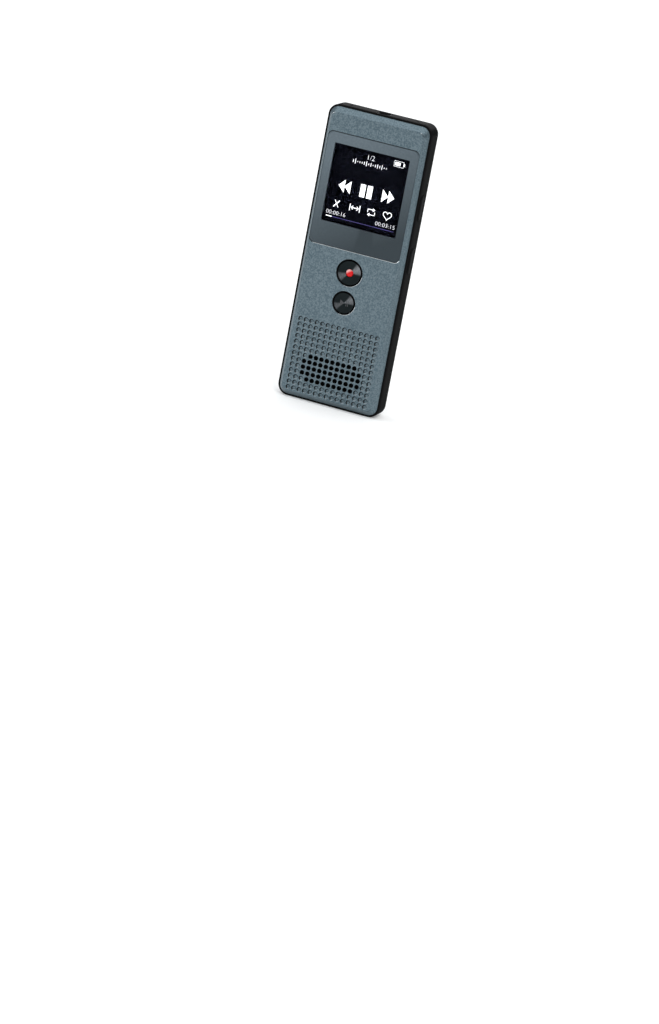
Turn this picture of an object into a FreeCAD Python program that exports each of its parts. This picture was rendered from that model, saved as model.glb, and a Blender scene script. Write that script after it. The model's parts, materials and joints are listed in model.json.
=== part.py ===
import FreeCAD, Part
import math
import os
import re
import Sketcher

# Handheld voice recorder, in millimetres.
# It stands upright: +Z runs along its length towards the headphone jack, the screen faces -Y and +X is
# to the right as one looks at the screen. The origin is the middle of the bottom face's outline.
# A depth is measured backwards from the face of the front plate, and a height upwards from the bottom.

SIZES = {
    # Outer body
    "body_width": 32.4,
    "body_length": 88.4,
    "body_thickness": 10.0,
    "corner_radius": 3.3,
    "part_gap": 0.1,
    # Front plate: a bevelled aluminium tray, set in from the frame by a small step
    "plate_step": 0.6,
    "plate_wall": 1.4,
    "plate_edge_depth": 2.2,
    "bevel_side": 1.22,
    "bevel_end": 1.5,
    "bevel_depth": 2.0,
    "tongue_wall": 0.8,
    "tongue_length": 0.4,
    # Grille: round pits on a square grid, some of them drilled through over the loudspeaker
    "hole_pitch": 1.75,
    "hole_radius": 0.7,
    "pit_radius": 0.66,
    "pit_depth": 0.35,
    "pit_floor_radius": 0.5,
    "grille_height": 10.17,
    # Middle frame and back cover
    "frame_wall": 1.4,
    "frame_end_depth": 7.2,
    "bead_width": 0.6,
    "bead_groove": 0.25,
    "back_wall": 1.2,
    "back_round": 2.6,
    "case_screw_x": 11.9,
    "case_screw_inset": 8.2,
    "case_block": 3.8,
    "case_block_depth": 5.3,
    "case_screw_radius": 0.8,
    "case_head_radius": 1.3,
    "case_head_depth": 9.15,
    "case_head_thickness": 0.6,
    "case_post_radius": 1.9,
    # Screen
    "lens_width": 28.5,
    "lens_length": 33.26,
    "lens_height": 64.03,
    "lens_radius": 1.5,
    "lens_inset": 0.05,
    "lens_thickness": 0.75,
    "ledge_depth": 0.9,
    "window_width": 26.6,
    "window_length": 29.7,
    "window_height": 64.45,
    "panel_width": 26.2,
    "panel_length": 29.3,
    "panel_depth": 0.92,
    "panel_thickness": 0.88,
    "light_depth": 1.85,
    "light_thickness": 0.5,
    "tray_depth": 2.4,
    "tray_sheet": 0.15,
    "tray_gap": 0.05,
    "flex_width": 9.0,
    "flex_sheet": 0.15,
    "flex_height": 48.55,
    "flex_start": 0.15,
    "connector_thickness": 1.0,
    "connector_length": 2.6,
    # Front buttons
    "record_height": 41.0,
    "record_radius": 3.75,
    "play_height": 31.9,
    "play_radius": 3.25,
    "button_gap": 0.25,
    "button_edge": 0.25,
    "flange_width": 0.7,
    "flange_thickness": 0.5,
    "plunger_radius": 1.2,
    "plunger_length": 0.5,
    "jewel_radius": 1.15,
    "jewel_thickness": 0.55,
    "jewel_round": 0.5,
    "jewel_gap": 0.05,
    # Side keys and power slider
    "key_length": 7.6,
    "key_width": 2.2,
    "key_proud": 0.35,
    "key_gap": 0.15,
    "key_edge": 0.25,
    "key_flange": 0.4,
    "key_flange_thickness": 0.5,
    "key_flange_corner": 0.5,
    "key_depth": 4.5,
    "volume_height": 64.0,
    "menu_height": 48.0,
    "knob_length": 4.4,
    "knob_travel": 2.0,
    "knob_height": 63.0,
    "knob_flange": 2.3,
    # Main board and what is on it
    "board_width": 26.8,
    "board_base": 1.9,
    "board_length": 80.0,
    "board_depth": 4.4,
    "board_thickness": 0.8,
    "board_screw_x": 12.2,
    "board_screw_low": 22.2,
    "board_screw_step": 21.3,
    "boss_radius": 1.4,
    "boss_hole_radius": 0.65,
    "board_screw_radius": 0.6,
    "board_head_radius": 1.1,
    "board_head_thickness": 0.6,
    "front_switch_size": 4.5,
    "front_switch_thickness": 1.1,
    "actuator_radius": 0.9,
    "actuator_length": 0.4,
    "side_switch_length": 4.7,
    "side_switch_reach": 3.0,
    "side_switch_thickness": 1.3,
    "side_switch_edge": 13.1,
    "slide_switch_width": 2.8,
    "slide_switch_length": 6.6,
    "slide_switch_x": 11.8,
    # Sockets and microphones, all in the middle of the frame's band
    "port_depth": 4.7,
    "jack_width": 6.4,
    "jack_thickness": 4.0,
    "jack_base": 73.9,
    "jack_length": 12.0,
    "jack_collar_radius": 2.0,
    "jack_mouth": 88.25,
    "jack_bore_radius": 1.8,
    "jack_bore_length": 13.35,
    "usb_width": 7.5,
    "usb_thickness": 2.5,
    "usb_length": 5.0,
    "usb_mouth": 0.1,
    "usb_wall": 0.3,
    "usb_corner": 0.7,
    "mic_x": 10.5,
    "mic_hole_radius": 0.5,
    "mic_radius": 1.5,
    "mic_length": 1.5,
    "boot_radius": 1.9,
    "boot_base": 83.0,
    "boot_top": 86.9,
    # Battery
    "cell_width": 21.2,
    "cell_length": 36.0,
    "cell_thickness": 2.9,
    "cell_base": 25.0,
    "cell_depth": 5.65,
    "cell_round": 1.2,
    "tape_thickness": 0.35,
    "guard_thickness": 0.6,
    "guard_length": 3.0,
    # Loudspeaker
    "speaker_width": 21.0,
    "speaker_length": 10.0,
    "speaker_corner": 1.5,
    "speaker_rim": 0.7,
    "gasket_depth": 1.6,
    "basket_depth": 2.1,
    "basket_thickness": 2.1,
    "magnet_width": 12.0,
    "magnet_length": 6.0,
    "magnet_thickness": 1.1,
}

GRILLE_COLUMNS = 15
GRILLE_ROWS = 13
OPEN_ROW = 8  # rows are counted from the top one, 0
OPEN_COLUMNS = 11

CAVITY = ("body_width - 2 * frame_wall", "body_length - 2 * frame_wall", "corner_radius - frame_wall")

doc = FreeCAD.newDocument("voice_recorder")
sheet = doc.addObject("Spreadsheet::Sheet", "Sizes")
sub_parts = []


# Formulas, sketches and features


def in_sheet(formula):
    """The formula with each size's name turned into its cell in the sheet."""
    def as_cell(word):
        return f"Sizes.{word.group()}" if word.group() in SIZES else word.group()
    return re.sub(r"[a-z_]+", as_cell, str(formula))


def value(formula):
    """The formula's value now, in millimetres."""
    return float(sheet.evalExpression(in_sheet(formula)))


def bind(item, prop, formula):
    """Keeps a property of an object equal to a formula of sizes."""
    item.setExpression(prop, in_sheet(formula))


def place(item, x, depth, height):
    """Binds an object's place: from the middle, back from the front face, and up from the bottom."""
    bind(item, "Placement.Base.x", x)
    bind(item, "Placement.Base.y", f"{depth} - body_thickness / 2")
    bind(item, "Placement.Base.z", height)


def keep(item, name):
    """Names an object as one of the recorder's sub-parts."""
    item.Label = name
    sub_parts.append(item)
    return item


def new_body(name):
    return keep(doc.addObject("PartDesign::Body", name), name)


def new_sketch(body, name, plane, across, up, out):
    """A sketch parallel to one of the body's origin planes, with its own origin moved by three formulas."""
    sketch = body.newObject("Sketcher::SketchObject", f"{body.Name}_{name}")
    support = [item for item in body.Origin.OriginFeatures if item.Role == plane]
    sketch.AttachmentSupport = [(support[0], "")]
    sketch.MapMode = "FlatFace"
    bind(sketch, "AttachmentOffset.Base.x", across)
    bind(sketch, "AttachmentOffset.Base.y", up)
    bind(sketch, "AttachmentOffset.Base.z", out)
    return sketch


def front_sketch(body, name, depth, x="0", height="body_length / 2"):
    """A sketch seen from the front, at a depth: its normal points at the viewer."""
    return new_sketch(body, name, "XZ_Plane", x, height, f"body_thickness / 2 - ({depth})")


def side_sketch(body, name, x, depth, height):
    """A sketch seen from the right: across is back, up is up, and its normal is +X."""
    return new_sketch(body, name, "YZ_Plane", f"{depth} - body_thickness / 2", height, x)


def level_sketch(body, name, height, x="0", depth="port_depth"):
    """A sketch seen from above: across is right, up is back, and its normal is +Z."""
    return new_sketch(body, name, "XY_Plane", x, f"{depth} - body_thickness / 2", height)


def bind_size(sketch, constraint, formula):
    """Adds a driving constraint and keeps it equal to a formula."""
    index = sketch.addConstraint(constraint)
    bind(sketch, f"Constraints[{index}]", formula)


def rounded_rectangle(sketch, width, length, radius):
    """Draws a rounded rectangle about the sketch's origin, fully constrained."""
    half_w = value(width) / 2
    half_l = value(length) / 2
    round_by = value(radius)
    first = sketch.GeometryCount
    corners = [(1, -1, 270), (1, 1, 0), (-1, 1, 90), (-1, -1, 180)]
    flat_w = half_w - round_by
    flat_l = half_l - round_by
    points = [
        ((-flat_w, -half_l), (flat_w, -half_l)),
        ((half_w, -flat_l), (half_w, flat_l)),
        ((flat_w, half_l), (-flat_w, half_l)),
        ((-half_w, flat_l), (-half_w, -flat_l)),
    ]
    for start, end in points:
        sketch.addGeometry(Part.LineSegment(FreeCAD.Vector(*start, 0), FreeCAD.Vector(*end, 0)))
    for side, top, angle in corners:
        centre = FreeCAD.Vector(side * flat_w, top * flat_l, 0)
        corner = Part.Circle(centre, FreeCAD.Vector(0, 0, 1), round_by)
        start = math.radians(angle)
        sketch.addGeometry(Part.ArcOfCircle(corner, start, start + math.radians(90)))
    lines = [first + i for i in range(4)]
    arcs = [first + 4 + i for i in range(4)]
    for i in range(4):
        sketch.addConstraint(Sketcher.Constraint("Tangent", lines[i], 2, arcs[i], 1))
        sketch.addConstraint(Sketcher.Constraint("Tangent", arcs[i], 2, lines[(i + 1) % 4], 1))
        sketch.addConstraint(Sketcher.Constraint("Vertical" if i % 2 else "Horizontal", lines[i]))
    for arc in arcs[1:]:
        sketch.addConstraint(Sketcher.Constraint("Equal", arcs[0], arc))
    sketch.addConstraint(Sketcher.Constraint("Symmetric", arcs[0], 3, arcs[2], 3, -1, 1))
    bind_size(sketch, Sketcher.Constraint("Radius", arcs[0], round_by), radius)
    bind_size(sketch, Sketcher.Constraint("DistanceX", lines[3], 1, lines[1], 1, 2 * half_w), width)
    bind_size(sketch, Sketcher.Constraint("DistanceY", lines[0], 1, lines[2], 1, 2 * half_l), length)
    return sketch


def circle(sketch, radius):
    """Draws a circle about the sketch's origin."""
    disc = Part.Circle(FreeCAD.Vector(0, 0, 0), FreeCAD.Vector(0, 0, 1), value(radius))
    index = sketch.addGeometry(disc)
    sketch.addConstraint(Sketcher.Constraint("Coincident", index, 3, -1, 1))
    bind_size(sketch, Sketcher.Constraint("Radius", index, value(radius)), radius)
    return sketch


def polygon(sketch, corners):
    """Draws a closed outline through corners, each two formulas that are never negative."""
    first = sketch.GeometryCount
    count = len(corners)
    points = [FreeCAD.Vector(value(across), value(up), 0) for across, up in corners]
    for i in range(count):
        sketch.addGeometry(Part.LineSegment(points[i], points[(i + 1) % count]))
    for i, (across, up) in enumerate(corners):
        sketch.addConstraint(Sketcher.Constraint("Coincident", first + i, 2, first + (i + 1) % count, 1))
        measures = (("DistanceX", -2, points[i].x, across), ("DistanceY", -1, points[i].y, up))
        for kind, axis, place_at, formula in measures:
            if place_at == 0:
                sketch.addConstraint(Sketcher.Constraint("PointOnObject", first + i, 1, axis))
            else:
                bind_size(sketch, Sketcher.Constraint(kind, -1, 1, first + i, 1, place_at), formula)
    return sketch


def volume(body):
    return 0.0 if body.Shape.isNull() else body.Shape.Volume


def add_feature(body, kind, sketch, **properties):
    """Adds a feature made from a sketch, and stops if it changes the body the wrong way."""
    before = volume(body)
    short = kind.split("::")[1].lower()
    feature = body.newObject(kind, f"{sketch.Name}_{short}")
    feature.Profile = sketch
    for prop, formula in properties.items():
        if isinstance(formula, str):
            bind(feature, prop, formula)
        else:
            setattr(feature, prop, formula)
    doc.recompute()
    removes = short in ("pocket", "subtractiveloft")
    changed = volume(body) - before
    if (changed >= -1e-6) if removes else (changed <= 1e-6):
        raise RuntimeError(f"{feature.Name} changes the volume by {changed:.4f}")
    return feature


def pad(body, sketch, length, along_normal=True):
    return add_feature(body, "PartDesign::Pad", sketch, Length=length, Reversed=not along_normal)


def pocket(body, sketch, length, along_normal=False):
    return add_feature(body, "PartDesign::Pocket", sketch, Length=length, Reversed=along_normal)


def grid(body, feature, sketch, columns, column_step, rows, row_step):
    """Repeats a feature to the right and upwards."""
    before = volume(body)
    pattern = body.newObject("PartDesign::LinearPattern", f"{feature.Name}_grid")
    pattern.Originals = [feature]
    pattern.Direction = (sketch, ["H_Axis"])
    pattern.Occurrences = columns
    bind(pattern, "Length", f"{columns - 1} * ({column_step})")
    pattern.Direction2 = (sketch, ["V_Axis"])
    pattern.Occurrences2 = rows
    bind(pattern, "Length2", f"{rows - 1} * ({row_step})")
    body.Tip = pattern
    doc.recompute()
    if abs(volume(body) - before) < 1e-6:
        raise RuntimeError(f"{pattern.Name} changes nothing")
    return pattern


def edges_in_plane(shape, axis, place_at):
    """Names of the edges that lie wholly in the plane where that coordinate has that value."""
    names = []
    for index, edge in enumerate(shape.Edges, start=1):
        box = edge.BoundBox
        low = getattr(box, f"{axis}Min")
        high = getattr(box, f"{axis}Max")
        if abs(low - place_at) < 1e-4 and abs(high - place_at) < 1e-4:
            names.append(f"Edge{index}")
    return names


def soften(body, kind, axis, place_at, prop, size):
    """Rounds or bevels every edge of the body that lies in one plane."""
    names = edges_in_plane(body.Tip.Shape, axis, value(place_at))
    base = body.Tip
    feature = body.newObject(f"PartDesign::{kind}", f"{body.Name}_{kind.lower()}_{len(body.Group)}")
    feature.Base = (base, names)
    bind(feature, prop, size)
    body.Tip = feature
    doc.recompute()
    return feature


# Plain blocks and rods, for the small bought-in parts


def block(name, width, thickness, length, x, depth, base):
    """A box centred on x, from its front depth backwards and from its base upwards."""
    item = doc.addObject("Part::Box", name)
    bind(item, "Length", width)
    bind(item, "Width", thickness)
    bind(item, "Height", length)
    place(item, f"{x} - ({width}) / 2", depth, base)
    return item


def rod(name, radius, length, x, depth, height, direction=(0, 1, 0)):
    """A cylinder from a point, running backwards unless another direction is given."""
    item = doc.addObject("Part::Cylinder", name)
    bind(item, "Radius", radius)
    bind(item, "Height", length)
    item.Placement.Rotation = FreeCAD.Rotation(FreeCAD.Vector(0, 0, 1), FreeCAD.Vector(*direction))
    place(item, x, depth, height)
    return item


def cut(name, base, tool):
    item = doc.addObject("Part::Cut", name)
    item.Base = base
    item.Tool = tool
    return item


def fuse(name, base, tool):
    item = doc.addObject("Part::Fuse", name)
    item.Base = base
    item.Tool = tool
    return item


def group(name, members):
    """Several separate solids that share one node."""
    item = doc.addObject("Part::Compound", name)
    item.Links = members
    return keep(item, name)


def rounded_block(name, radius, block_item, axis):
    """A block with the four edges along one axis rounded."""
    doc.recompute()
    edges = []
    for index, edge in enumerate(block_item.Shape.Edges, start=1):
        box = edge.BoundBox
        spans = {"X": box.XLength, "Y": box.YLength, "Z": box.ZLength}
        if spans[axis] > 1e-6:
            edges.append((index, value(radius), value(radius)))
    item = doc.addObject("Part::Fillet", name)
    item.Base = block_item
    item.Edges = edges
    return keep(item, name)


# Casing


def grille_block(body, name, column, row, columns, rows, row_step, radius, depth, floor_radius=None):
    """A block of holes or pits, grown from its lowest left one. Rows are counted from the top one."""
    x = f"({column} - {GRILLE_COLUMNS // 2}) * hole_pitch"
    height = f"grille_height + ({OPEN_ROW} - {row}) * hole_pitch"
    mouth = circle(front_sketch(body, name, "0", x, height), radius)
    if floor_radius is None:
        seed = pocket(body, mouth, depth)
    else:
        floor = circle(front_sketch(body, f"{name}_floor", depth, x, height), floor_radius)
        seed = add_feature(body, "PartDesign::SubtractiveLoft", mouth, Sections=[floor])
    grid(body, seed, mouth, columns, "hole_pitch", rows, row_step)


def cut_grille(body):
    """The full grid of pits, with an oblong of through holes in its lower half."""
    side = (GRILLE_COLUMNS - OPEN_COLUMNS) // 2
    last_open = OPEN_ROW + 2
    holes = ("hole_radius", "plate_wall + 1")
    grille_block(body, "holes", side, OPEN_ROW + 1, OPEN_COLUMNS, 3, "hole_pitch", *holes)
    grille_block(body, "end_holes", side + 1, last_open, OPEN_COLUMNS - 2, 2, "4 * hole_pitch", *holes)
    pits = ("pit_radius", "pit_depth", "pit_floor_radius")
    upper_rows = OPEN_ROW - 2
    grille_block(body, "upper_pits", 0, upper_rows - 1, GRILLE_COLUMNS, upper_rows, "hole_pitch", *pits)
    lower_rows = GRILLE_ROWS - 1 - last_open
    grille_block(body, "lower_pits", 0, GRILLE_ROWS - 1, GRILLE_COLUMNS, lower_rows, "hole_pitch", *pits)
    for word, first, first_end in (
        ("left", 0, 0),
        ("right", GRILLE_COLUMNS - side, GRILLE_COLUMNS - side - 1),
    ):
        grille_block(body, f"{word}_pits", first, OPEN_ROW + 1, side, 3, "hole_pitch", *pits)
        grille_block(body, f"{word}_end_pits", first_end, last_open, side + 1, 2, "4 * hole_pitch", *pits)


def front_plate():
    """Bevelled plate with the screen's ledge and window, two button holes, the grille and four bosses."""
    body = new_body("front_plate")
    plate_w = "body_width - 2 * plate_step"
    plate_l = "body_length - 2 * plate_step"
    face = front_sketch(body, "face", "0")
    rounded_rectangle(
        face,
        f"{plate_w} - 2 * bevel_side",
        f"{plate_l} - 2 * bevel_end",
        "corner_radius - plate_step - bevel_side",
    )
    foot = front_sketch(body, "foot", "bevel_depth")
    rounded_rectangle(foot, plate_w, plate_l, "corner_radius - plate_step")
    add_feature(body, "PartDesign::AdditiveLoft", face, Sections=[foot], Ruled=True)
    pad(body, foot, "plate_edge_depth - bevel_depth", along_normal=False)
    width, length, radius = (f"{size} - {many} * part_gap" for size, many in zip(CAVITY, (2, 2, 1)))
    tongue = rounded_rectangle(front_sketch(body, "tongue", "plate_edge_depth"), width, length, radius)
    pad(body, tongue, "tongue_length", along_normal=False)
    inside = front_sketch(body, "inside", "plate_edge_depth + tongue_length")
    rounded_rectangle(
        inside,
        f"{width} - 2 * tongue_wall",
        f"{length} - 2 * tongue_wall",
        f"{radius} - tongue_wall",
    )
    pocket(body, inside, "plate_edge_depth + tongue_length - plate_wall", along_normal=True)
    for name, radius, feature, start, length in (
        ("bosses", "boss_radius", pad, "plate_wall - 0.1", "board_depth - plate_wall + 0.1"),
        ("boss_holes", "boss_hole_radius", pocket, "plate_wall + 0.5", "board_depth"),
    ):
        sketch = circle(front_sketch(body, name, start, "-board_screw_x", "board_screw_low"), radius)
        seed = feature(body, sketch, length, along_normal=False)
        grid(body, seed, sketch, 2, "2 * board_screw_x", 2, "board_screw_step")
    ledge = front_sketch(body, "ledge", "0", height="lens_height")
    rounded_rectangle(
        ledge,
        "lens_width + 2 * part_gap",
        "lens_length + 2 * part_gap",
        "lens_radius + part_gap",
    )
    pocket(body, ledge, "ledge_depth")
    window = front_sketch(body, "window", "0", height="window_height")
    rounded_rectangle(window, "window_width", "window_length", "lens_radius / 3")
    pocket(body, window, "plate_wall + 1")
    for name in ("record", "play"):
        hole = circle(front_sketch(body, name, "0", height=f"{name}_height"), f"{name}_radius + button_gap")
        pocket(body, hole, "plate_wall + 1")
    cut_grille(body)


def middle_frame():
    """Ring round the inside, grooved behind its front bead, with slots, sockets and four screw blocks."""
    body = new_body("mid_frame")
    outline = rounded_rectangle(
        front_sketch(body, "outline", "plate_edge_depth"), "body_width", "body_length", "corner_radius"
    )
    pad(body, outline, "frame_end_depth - plate_edge_depth", along_normal=False)
    soften(body, "Chamfer", "Y", "plate_edge_depth - body_thickness / 2", "Size", "part_gap")
    groove = front_sketch(body, "groove", "plate_edge_depth + bead_width")
    rounded_rectangle(groove, "body_width + 2", "body_length + 2", "corner_radius + 1")
    rounded_rectangle(
        groove,
        "body_width - 2 * bead_groove",
        "body_length - 2 * bead_groove",
        "corner_radius - bead_groove",
    )
    pocket(body, groove, "bead_groove")
    cavity = rounded_rectangle(front_sketch(body, "cavity", "plate_edge_depth"), *CAVITY)
    pocket(body, cavity, "frame_end_depth")
    block_w = "body_width / 2 - frame_wall - case_screw_x + case_block / 2"
    for word, sign in (("left", "-1"), ("right", "1")):
        centre = f"{sign} * (body_width / 2 - frame_wall + 0.1 - ({block_w}) / 2)"
        blocks = front_sketch(body, f"{word}_blocks", "case_block_depth", centre, "case_screw_inset")
        rounded_rectangle(blocks, f"{block_w} + 0.2", "case_block", "0.5")
        seed = pad(body, blocks, "frame_end_depth - case_block_depth", along_normal=False)
        grid(body, seed, blocks, 1, "0", 2, "body_length - 2 * case_screw_inset")
    holes = front_sketch(body, "screw_holes", "plate_edge_depth", "-case_screw_x", "case_screw_inset")
    seed = pocket(body, circle(holes, "case_screw_radius + part_gap / 2"), "body_thickness")
    grid(body, seed, holes, 2, "2 * case_screw_x", 2, "body_length - 2 * case_screw_inset")
    outside = "body_width / 2 + 1"
    slot_width = "key_width + 2 * key_gap"
    slot_corner = "key_width / 2 + key_gap / 2"
    for name in ("volume", "menu"):
        slot = side_sketch(body, f"{name}_slot", outside, "key_depth", f"{name}_height")
        rounded_rectangle(slot, slot_width, "key_length + 2 * key_gap", slot_corner)
        pocket(body, slot, "frame_wall + 1.5")
    slot = side_sketch(body, "power_slot", f"-({outside})", "key_depth", "knob_height + knob_travel / 2")
    slot_length = "knob_length + knob_travel + 2 * key_gap"
    rounded_rectangle(slot, slot_width, slot_length, slot_corner)
    pocket(body, slot, "frame_wall + 1.5", along_normal=True)
    top_holes = [("jack", "0", "jack_collar_radius + part_gap")]
    top_holes += [("left_mic", "-mic_x", "mic_hole_radius"), ("right_mic", "mic_x", "mic_hole_radius")]
    for name, x, radius in top_holes:
        hole = circle(level_sketch(body, f"{name}_hole", "body_length + 1", x), radius)
        pocket(body, hole, "frame_wall + 1.5")
    usb_hole = level_sketch(body, "usb_hole", "-1")
    rounded_rectangle(usb_hole, "usb_width + 0.5", "usb_thickness + 0.5", "usb_corner + 0.25")
    pocket(body, usb_hole, "frame_wall + 1.5", along_normal=True)


def back_cover():
    """Shallow tray with rounded back edges and four counterbored screw posts."""
    body = new_body("back_cover")
    outline = front_sketch(body, "outline", "frame_end_depth + 0.02")
    rounded_rectangle(outline, "body_width", "body_length", "corner_radius")
    pad(body, outline, "body_thickness - frame_end_depth - 0.02", along_normal=False)
    soften(body, "Fillet", "Y", "body_thickness / 2", "Radius", "back_round")
    inside = rounded_rectangle(front_sketch(body, "inside", "frame_end_depth"), *CAVITY)
    pocket(body, inside, "body_thickness - frame_end_depth - back_wall")
    step = "body_length - 2 * case_screw_inset"
    posts = front_sketch(body, "posts", "frame_end_depth + 0.02", "-case_screw_x", "case_screw_inset")
    circle(posts, "case_post_radius")
    seed = pad(body, posts, "body_thickness - frame_end_depth - back_wall", along_normal=False)
    grid(body, seed, posts, 2, "2 * case_screw_x", 2, step)
    holes = front_sketch(body, "screw_holes", "plate_edge_depth", "-case_screw_x", "case_screw_inset")
    seed = pocket(body, circle(holes, "case_screw_radius + part_gap"), "body_thickness")
    grid(body, seed, holes, 2, "2 * case_screw_x", 2, step)
    heads = front_sketch(body, "head_seats", "case_head_depth - 0.05", "-case_screw_x", "case_screw_inset")
    seed = pocket(body, circle(heads, "case_head_radius + part_gap"), "back_wall")
    grid(body, seed, heads, 2, "2 * case_screw_x", 2, step)


def screw(name, x, height, radius, tip_depth, head_radius, head_depth, head_thickness):
    """A cross-headed screw whose head faces backwards."""
    head = rod(f"{name}_head", head_radius, head_thickness, x, head_depth, height)
    shank = rod(f"{name}_shank", radius, f"{head_depth} - ({tip_depth}) + 0.05", x, tip_depth, height)
    whole = fuse(f"{name}_whole", head, shank)
    slot_depth = f"{head_depth} + {head_thickness} / 2"
    slot_long = f"1.3 * {head_radius}"
    slot_thin = f"0.25 * {head_radius}"
    for word, width, length in (("a", slot_long, slot_thin), ("b", slot_thin, slot_long)):
        base = f"{height} - {length} / 2"
        slot = block(f"{name}_slot_{word}", width, head_thickness, length, x, slot_depth, base)
        whole = cut(f"{name}_cut_{word}", whole, slot)
    return whole


def screws(name, x, heights, *sizes):
    """Four like screws in one node, left and right at two heights."""
    members = []
    for row, height in enumerate(heights):
        for side in (-1, 1):
            label = f"{name}_{row}_{'left' if side < 0 else 'right'}"
            members.append(screw(label, f"{side} * {x}", height, *sizes))
    group(name, members)


# Screen


def screen():
    """Lens, its adhesive ring, the panel, its light guide, steel tray, flex and connector."""
    lens = new_body("window_lens")
    face = front_sketch(lens, "face", "lens_inset", height="lens_height")
    rounded_rectangle(face, "lens_width", "lens_length", "lens_radius")
    pad(lens, face, "lens_thickness", along_normal=False)
    soften(lens, "Chamfer", "Y", "lens_inset - body_thickness / 2", "Size", "part_gap / 2")

    ring = new_body("lens_adhesive")
    tape = front_sketch(ring, "outline", "lens_inset + lens_thickness", height="lens_height")
    rounded_rectangle(tape, "lens_width - 0.2", "lens_length - 0.2", "lens_radius")
    pad(ring, tape, "ledge_depth - lens_inset - lens_thickness", along_normal=False)
    hole = front_sketch(ring, "hole", "0", height="window_height")
    rounded_rectangle(hole, "window_width + 0.2", "window_length + 0.2", "lens_radius / 3")
    pocket(ring, hole, "2")

    base = "window_height - panel_length / 2"
    panel = ("panel_width", "panel_thickness", "panel_length", "0", "panel_depth", base)
    keep(block("display_panel", *panel), "display_panel")
    light_width = "panel_width - 0.4"
    light_length = "panel_length - 0.6"
    light = (light_width, "light_thickness", light_length, "0", "light_depth", f"{base} + 0.3")
    keep(block("display_light", *light), "display_light")
    tray_front = "plate_wall + tray_gap"
    shell = block(
        "tray_shell",
        "window_width",
        f"tray_depth + tray_sheet - ({tray_front})",
        "window_length - 0.4",
        "0",
        tray_front,
        f"{base} + 0.2",
    )
    hollow_width = "window_width - 2 * tray_sheet"
    hollow = ("tray_depth", "window_length", "0", "0", f"{base} - 0.35")
    keep(cut("display_tray", shell, block("tray_hollow", hollow_width, *hollow)), "display_tray")

    flex = new_body("display_flex")
    bend = side_sketch(flex, "bend", "flex_width / -2", "plate_wall", "flex_height")
    reach = "board_depth - plate_wall - 0.45"
    panel_end = f"{base} - 0.05 - flex_height"
    polygon(bend, [
        ("flex_start", panel_end),
        ("flex_start", "0"),
        (reach, "0"),
        (reach, "flex_sheet"),
        ("flex_start + flex_sheet", "flex_sheet"),
        ("flex_start + flex_sheet", panel_end),
    ])
    pad(flex, bend, "flex_width")
    connector = block(
        "display_connector",
        "flex_width + 1.5",
        "connector_thickness",
        "connector_length",
        "0",
        "board_depth - connector_thickness",
        "flex_height - connector_length - 0.05",
    )
    keep(connector, "display_connector")


# Keys


def front_button(name, seated):
    """Turned button with a retaining flange and a plunger; a seated one has a recess for its jewel."""
    body = new_body(f"{name}_button")
    rim = f"{name}_radius"
    flange = "plate_wall + part_gap"
    back = f"{flange} + flange_thickness"
    tip = f"{back} + plunger_length"
    face = [("0", "0")]
    if seated:
        seat = "jewel_radius + jewel_gap"
        face = [("jewel_thickness", "0"), ("jewel_thickness", seat), ("0", seat)]
    outline = face + [
        ("0", f"{rim} - button_edge"),
        ("button_edge", rim),
        (flange, rim),
        (flange, f"{rim} + flange_width"),
        (back, f"{rim} + flange_width"),
        (back, "plunger_radius"),
        (tip, "plunger_radius"),
        (tip, "0"),
    ]
    section = polygon(side_sketch(body, "section", "0", "0", f"{name}_height"), outline)
    axis = (section, ["H_Axis"])
    add_feature(body, "PartDesign::Revolution", section, ReferenceAxis=axis, Angle=360)


def jewel():
    """Red dome set in the record button."""
    body = new_body("record_jewel")
    disc = circle(front_sketch(body, "disc", "0", height="record_height"), "jewel_radius")
    pad(body, disc, "jewel_thickness - 0.02", along_normal=False)
    soften(body, "Fillet", "Y", "-body_thickness / 2", "Radius", "jewel_round")


def side_key(name, side, length, height, flange_more):
    """Pill-shaped key that stands proud of the frame's side, held from inside by a flange."""
    body = new_body(name)
    outward = side > 0
    flange_back = "body_width / 2 - frame_wall - 0.6"
    flange = side_sketch(body, "flange", f"{side} * ({flange_back})", "key_depth", height)
    flange_length = f"{length} + 2 * {flange_more}"
    rounded_rectangle(flange, "key_width + 2 * key_flange", flange_length, "key_flange_corner")
    pad(body, flange, "key_flange_thickness", along_normal=outward)
    flange_front = f"{side} * ({flange_back} + key_flange_thickness)"
    stem = side_sketch(body, "stem", flange_front, "key_depth", height)
    rounded_rectangle(stem, "key_width", length, "key_width / 2 - 0.02")
    pad(body, stem, "frame_wall + part_gap + key_proud", along_normal=outward)
    soften(body, "Chamfer", "X", f"{side} * (body_width / 2 + key_proud)", "Size", "key_edge")


def keys():
    front_button("record", seated=True)
    jewel()
    front_button("play", seated=False)
    side_key("volume_key", 1, "key_length", "volume_height", "key_flange")
    side_key("menu_key", 1, "key_length", "menu_height", "key_flange")
    side_key("power_knob", -1, "knob_length", "knob_height", "knob_flange")
    lever_x = "-(body_width / 2 - frame_wall - 1.05)"
    lever = ("0.8", "0.8", "1.0", lever_x, "board_depth - 1.0", "knob_height - 0.5")
    keep(block("power_lever", *lever), "power_lever")


# Main board


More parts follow.
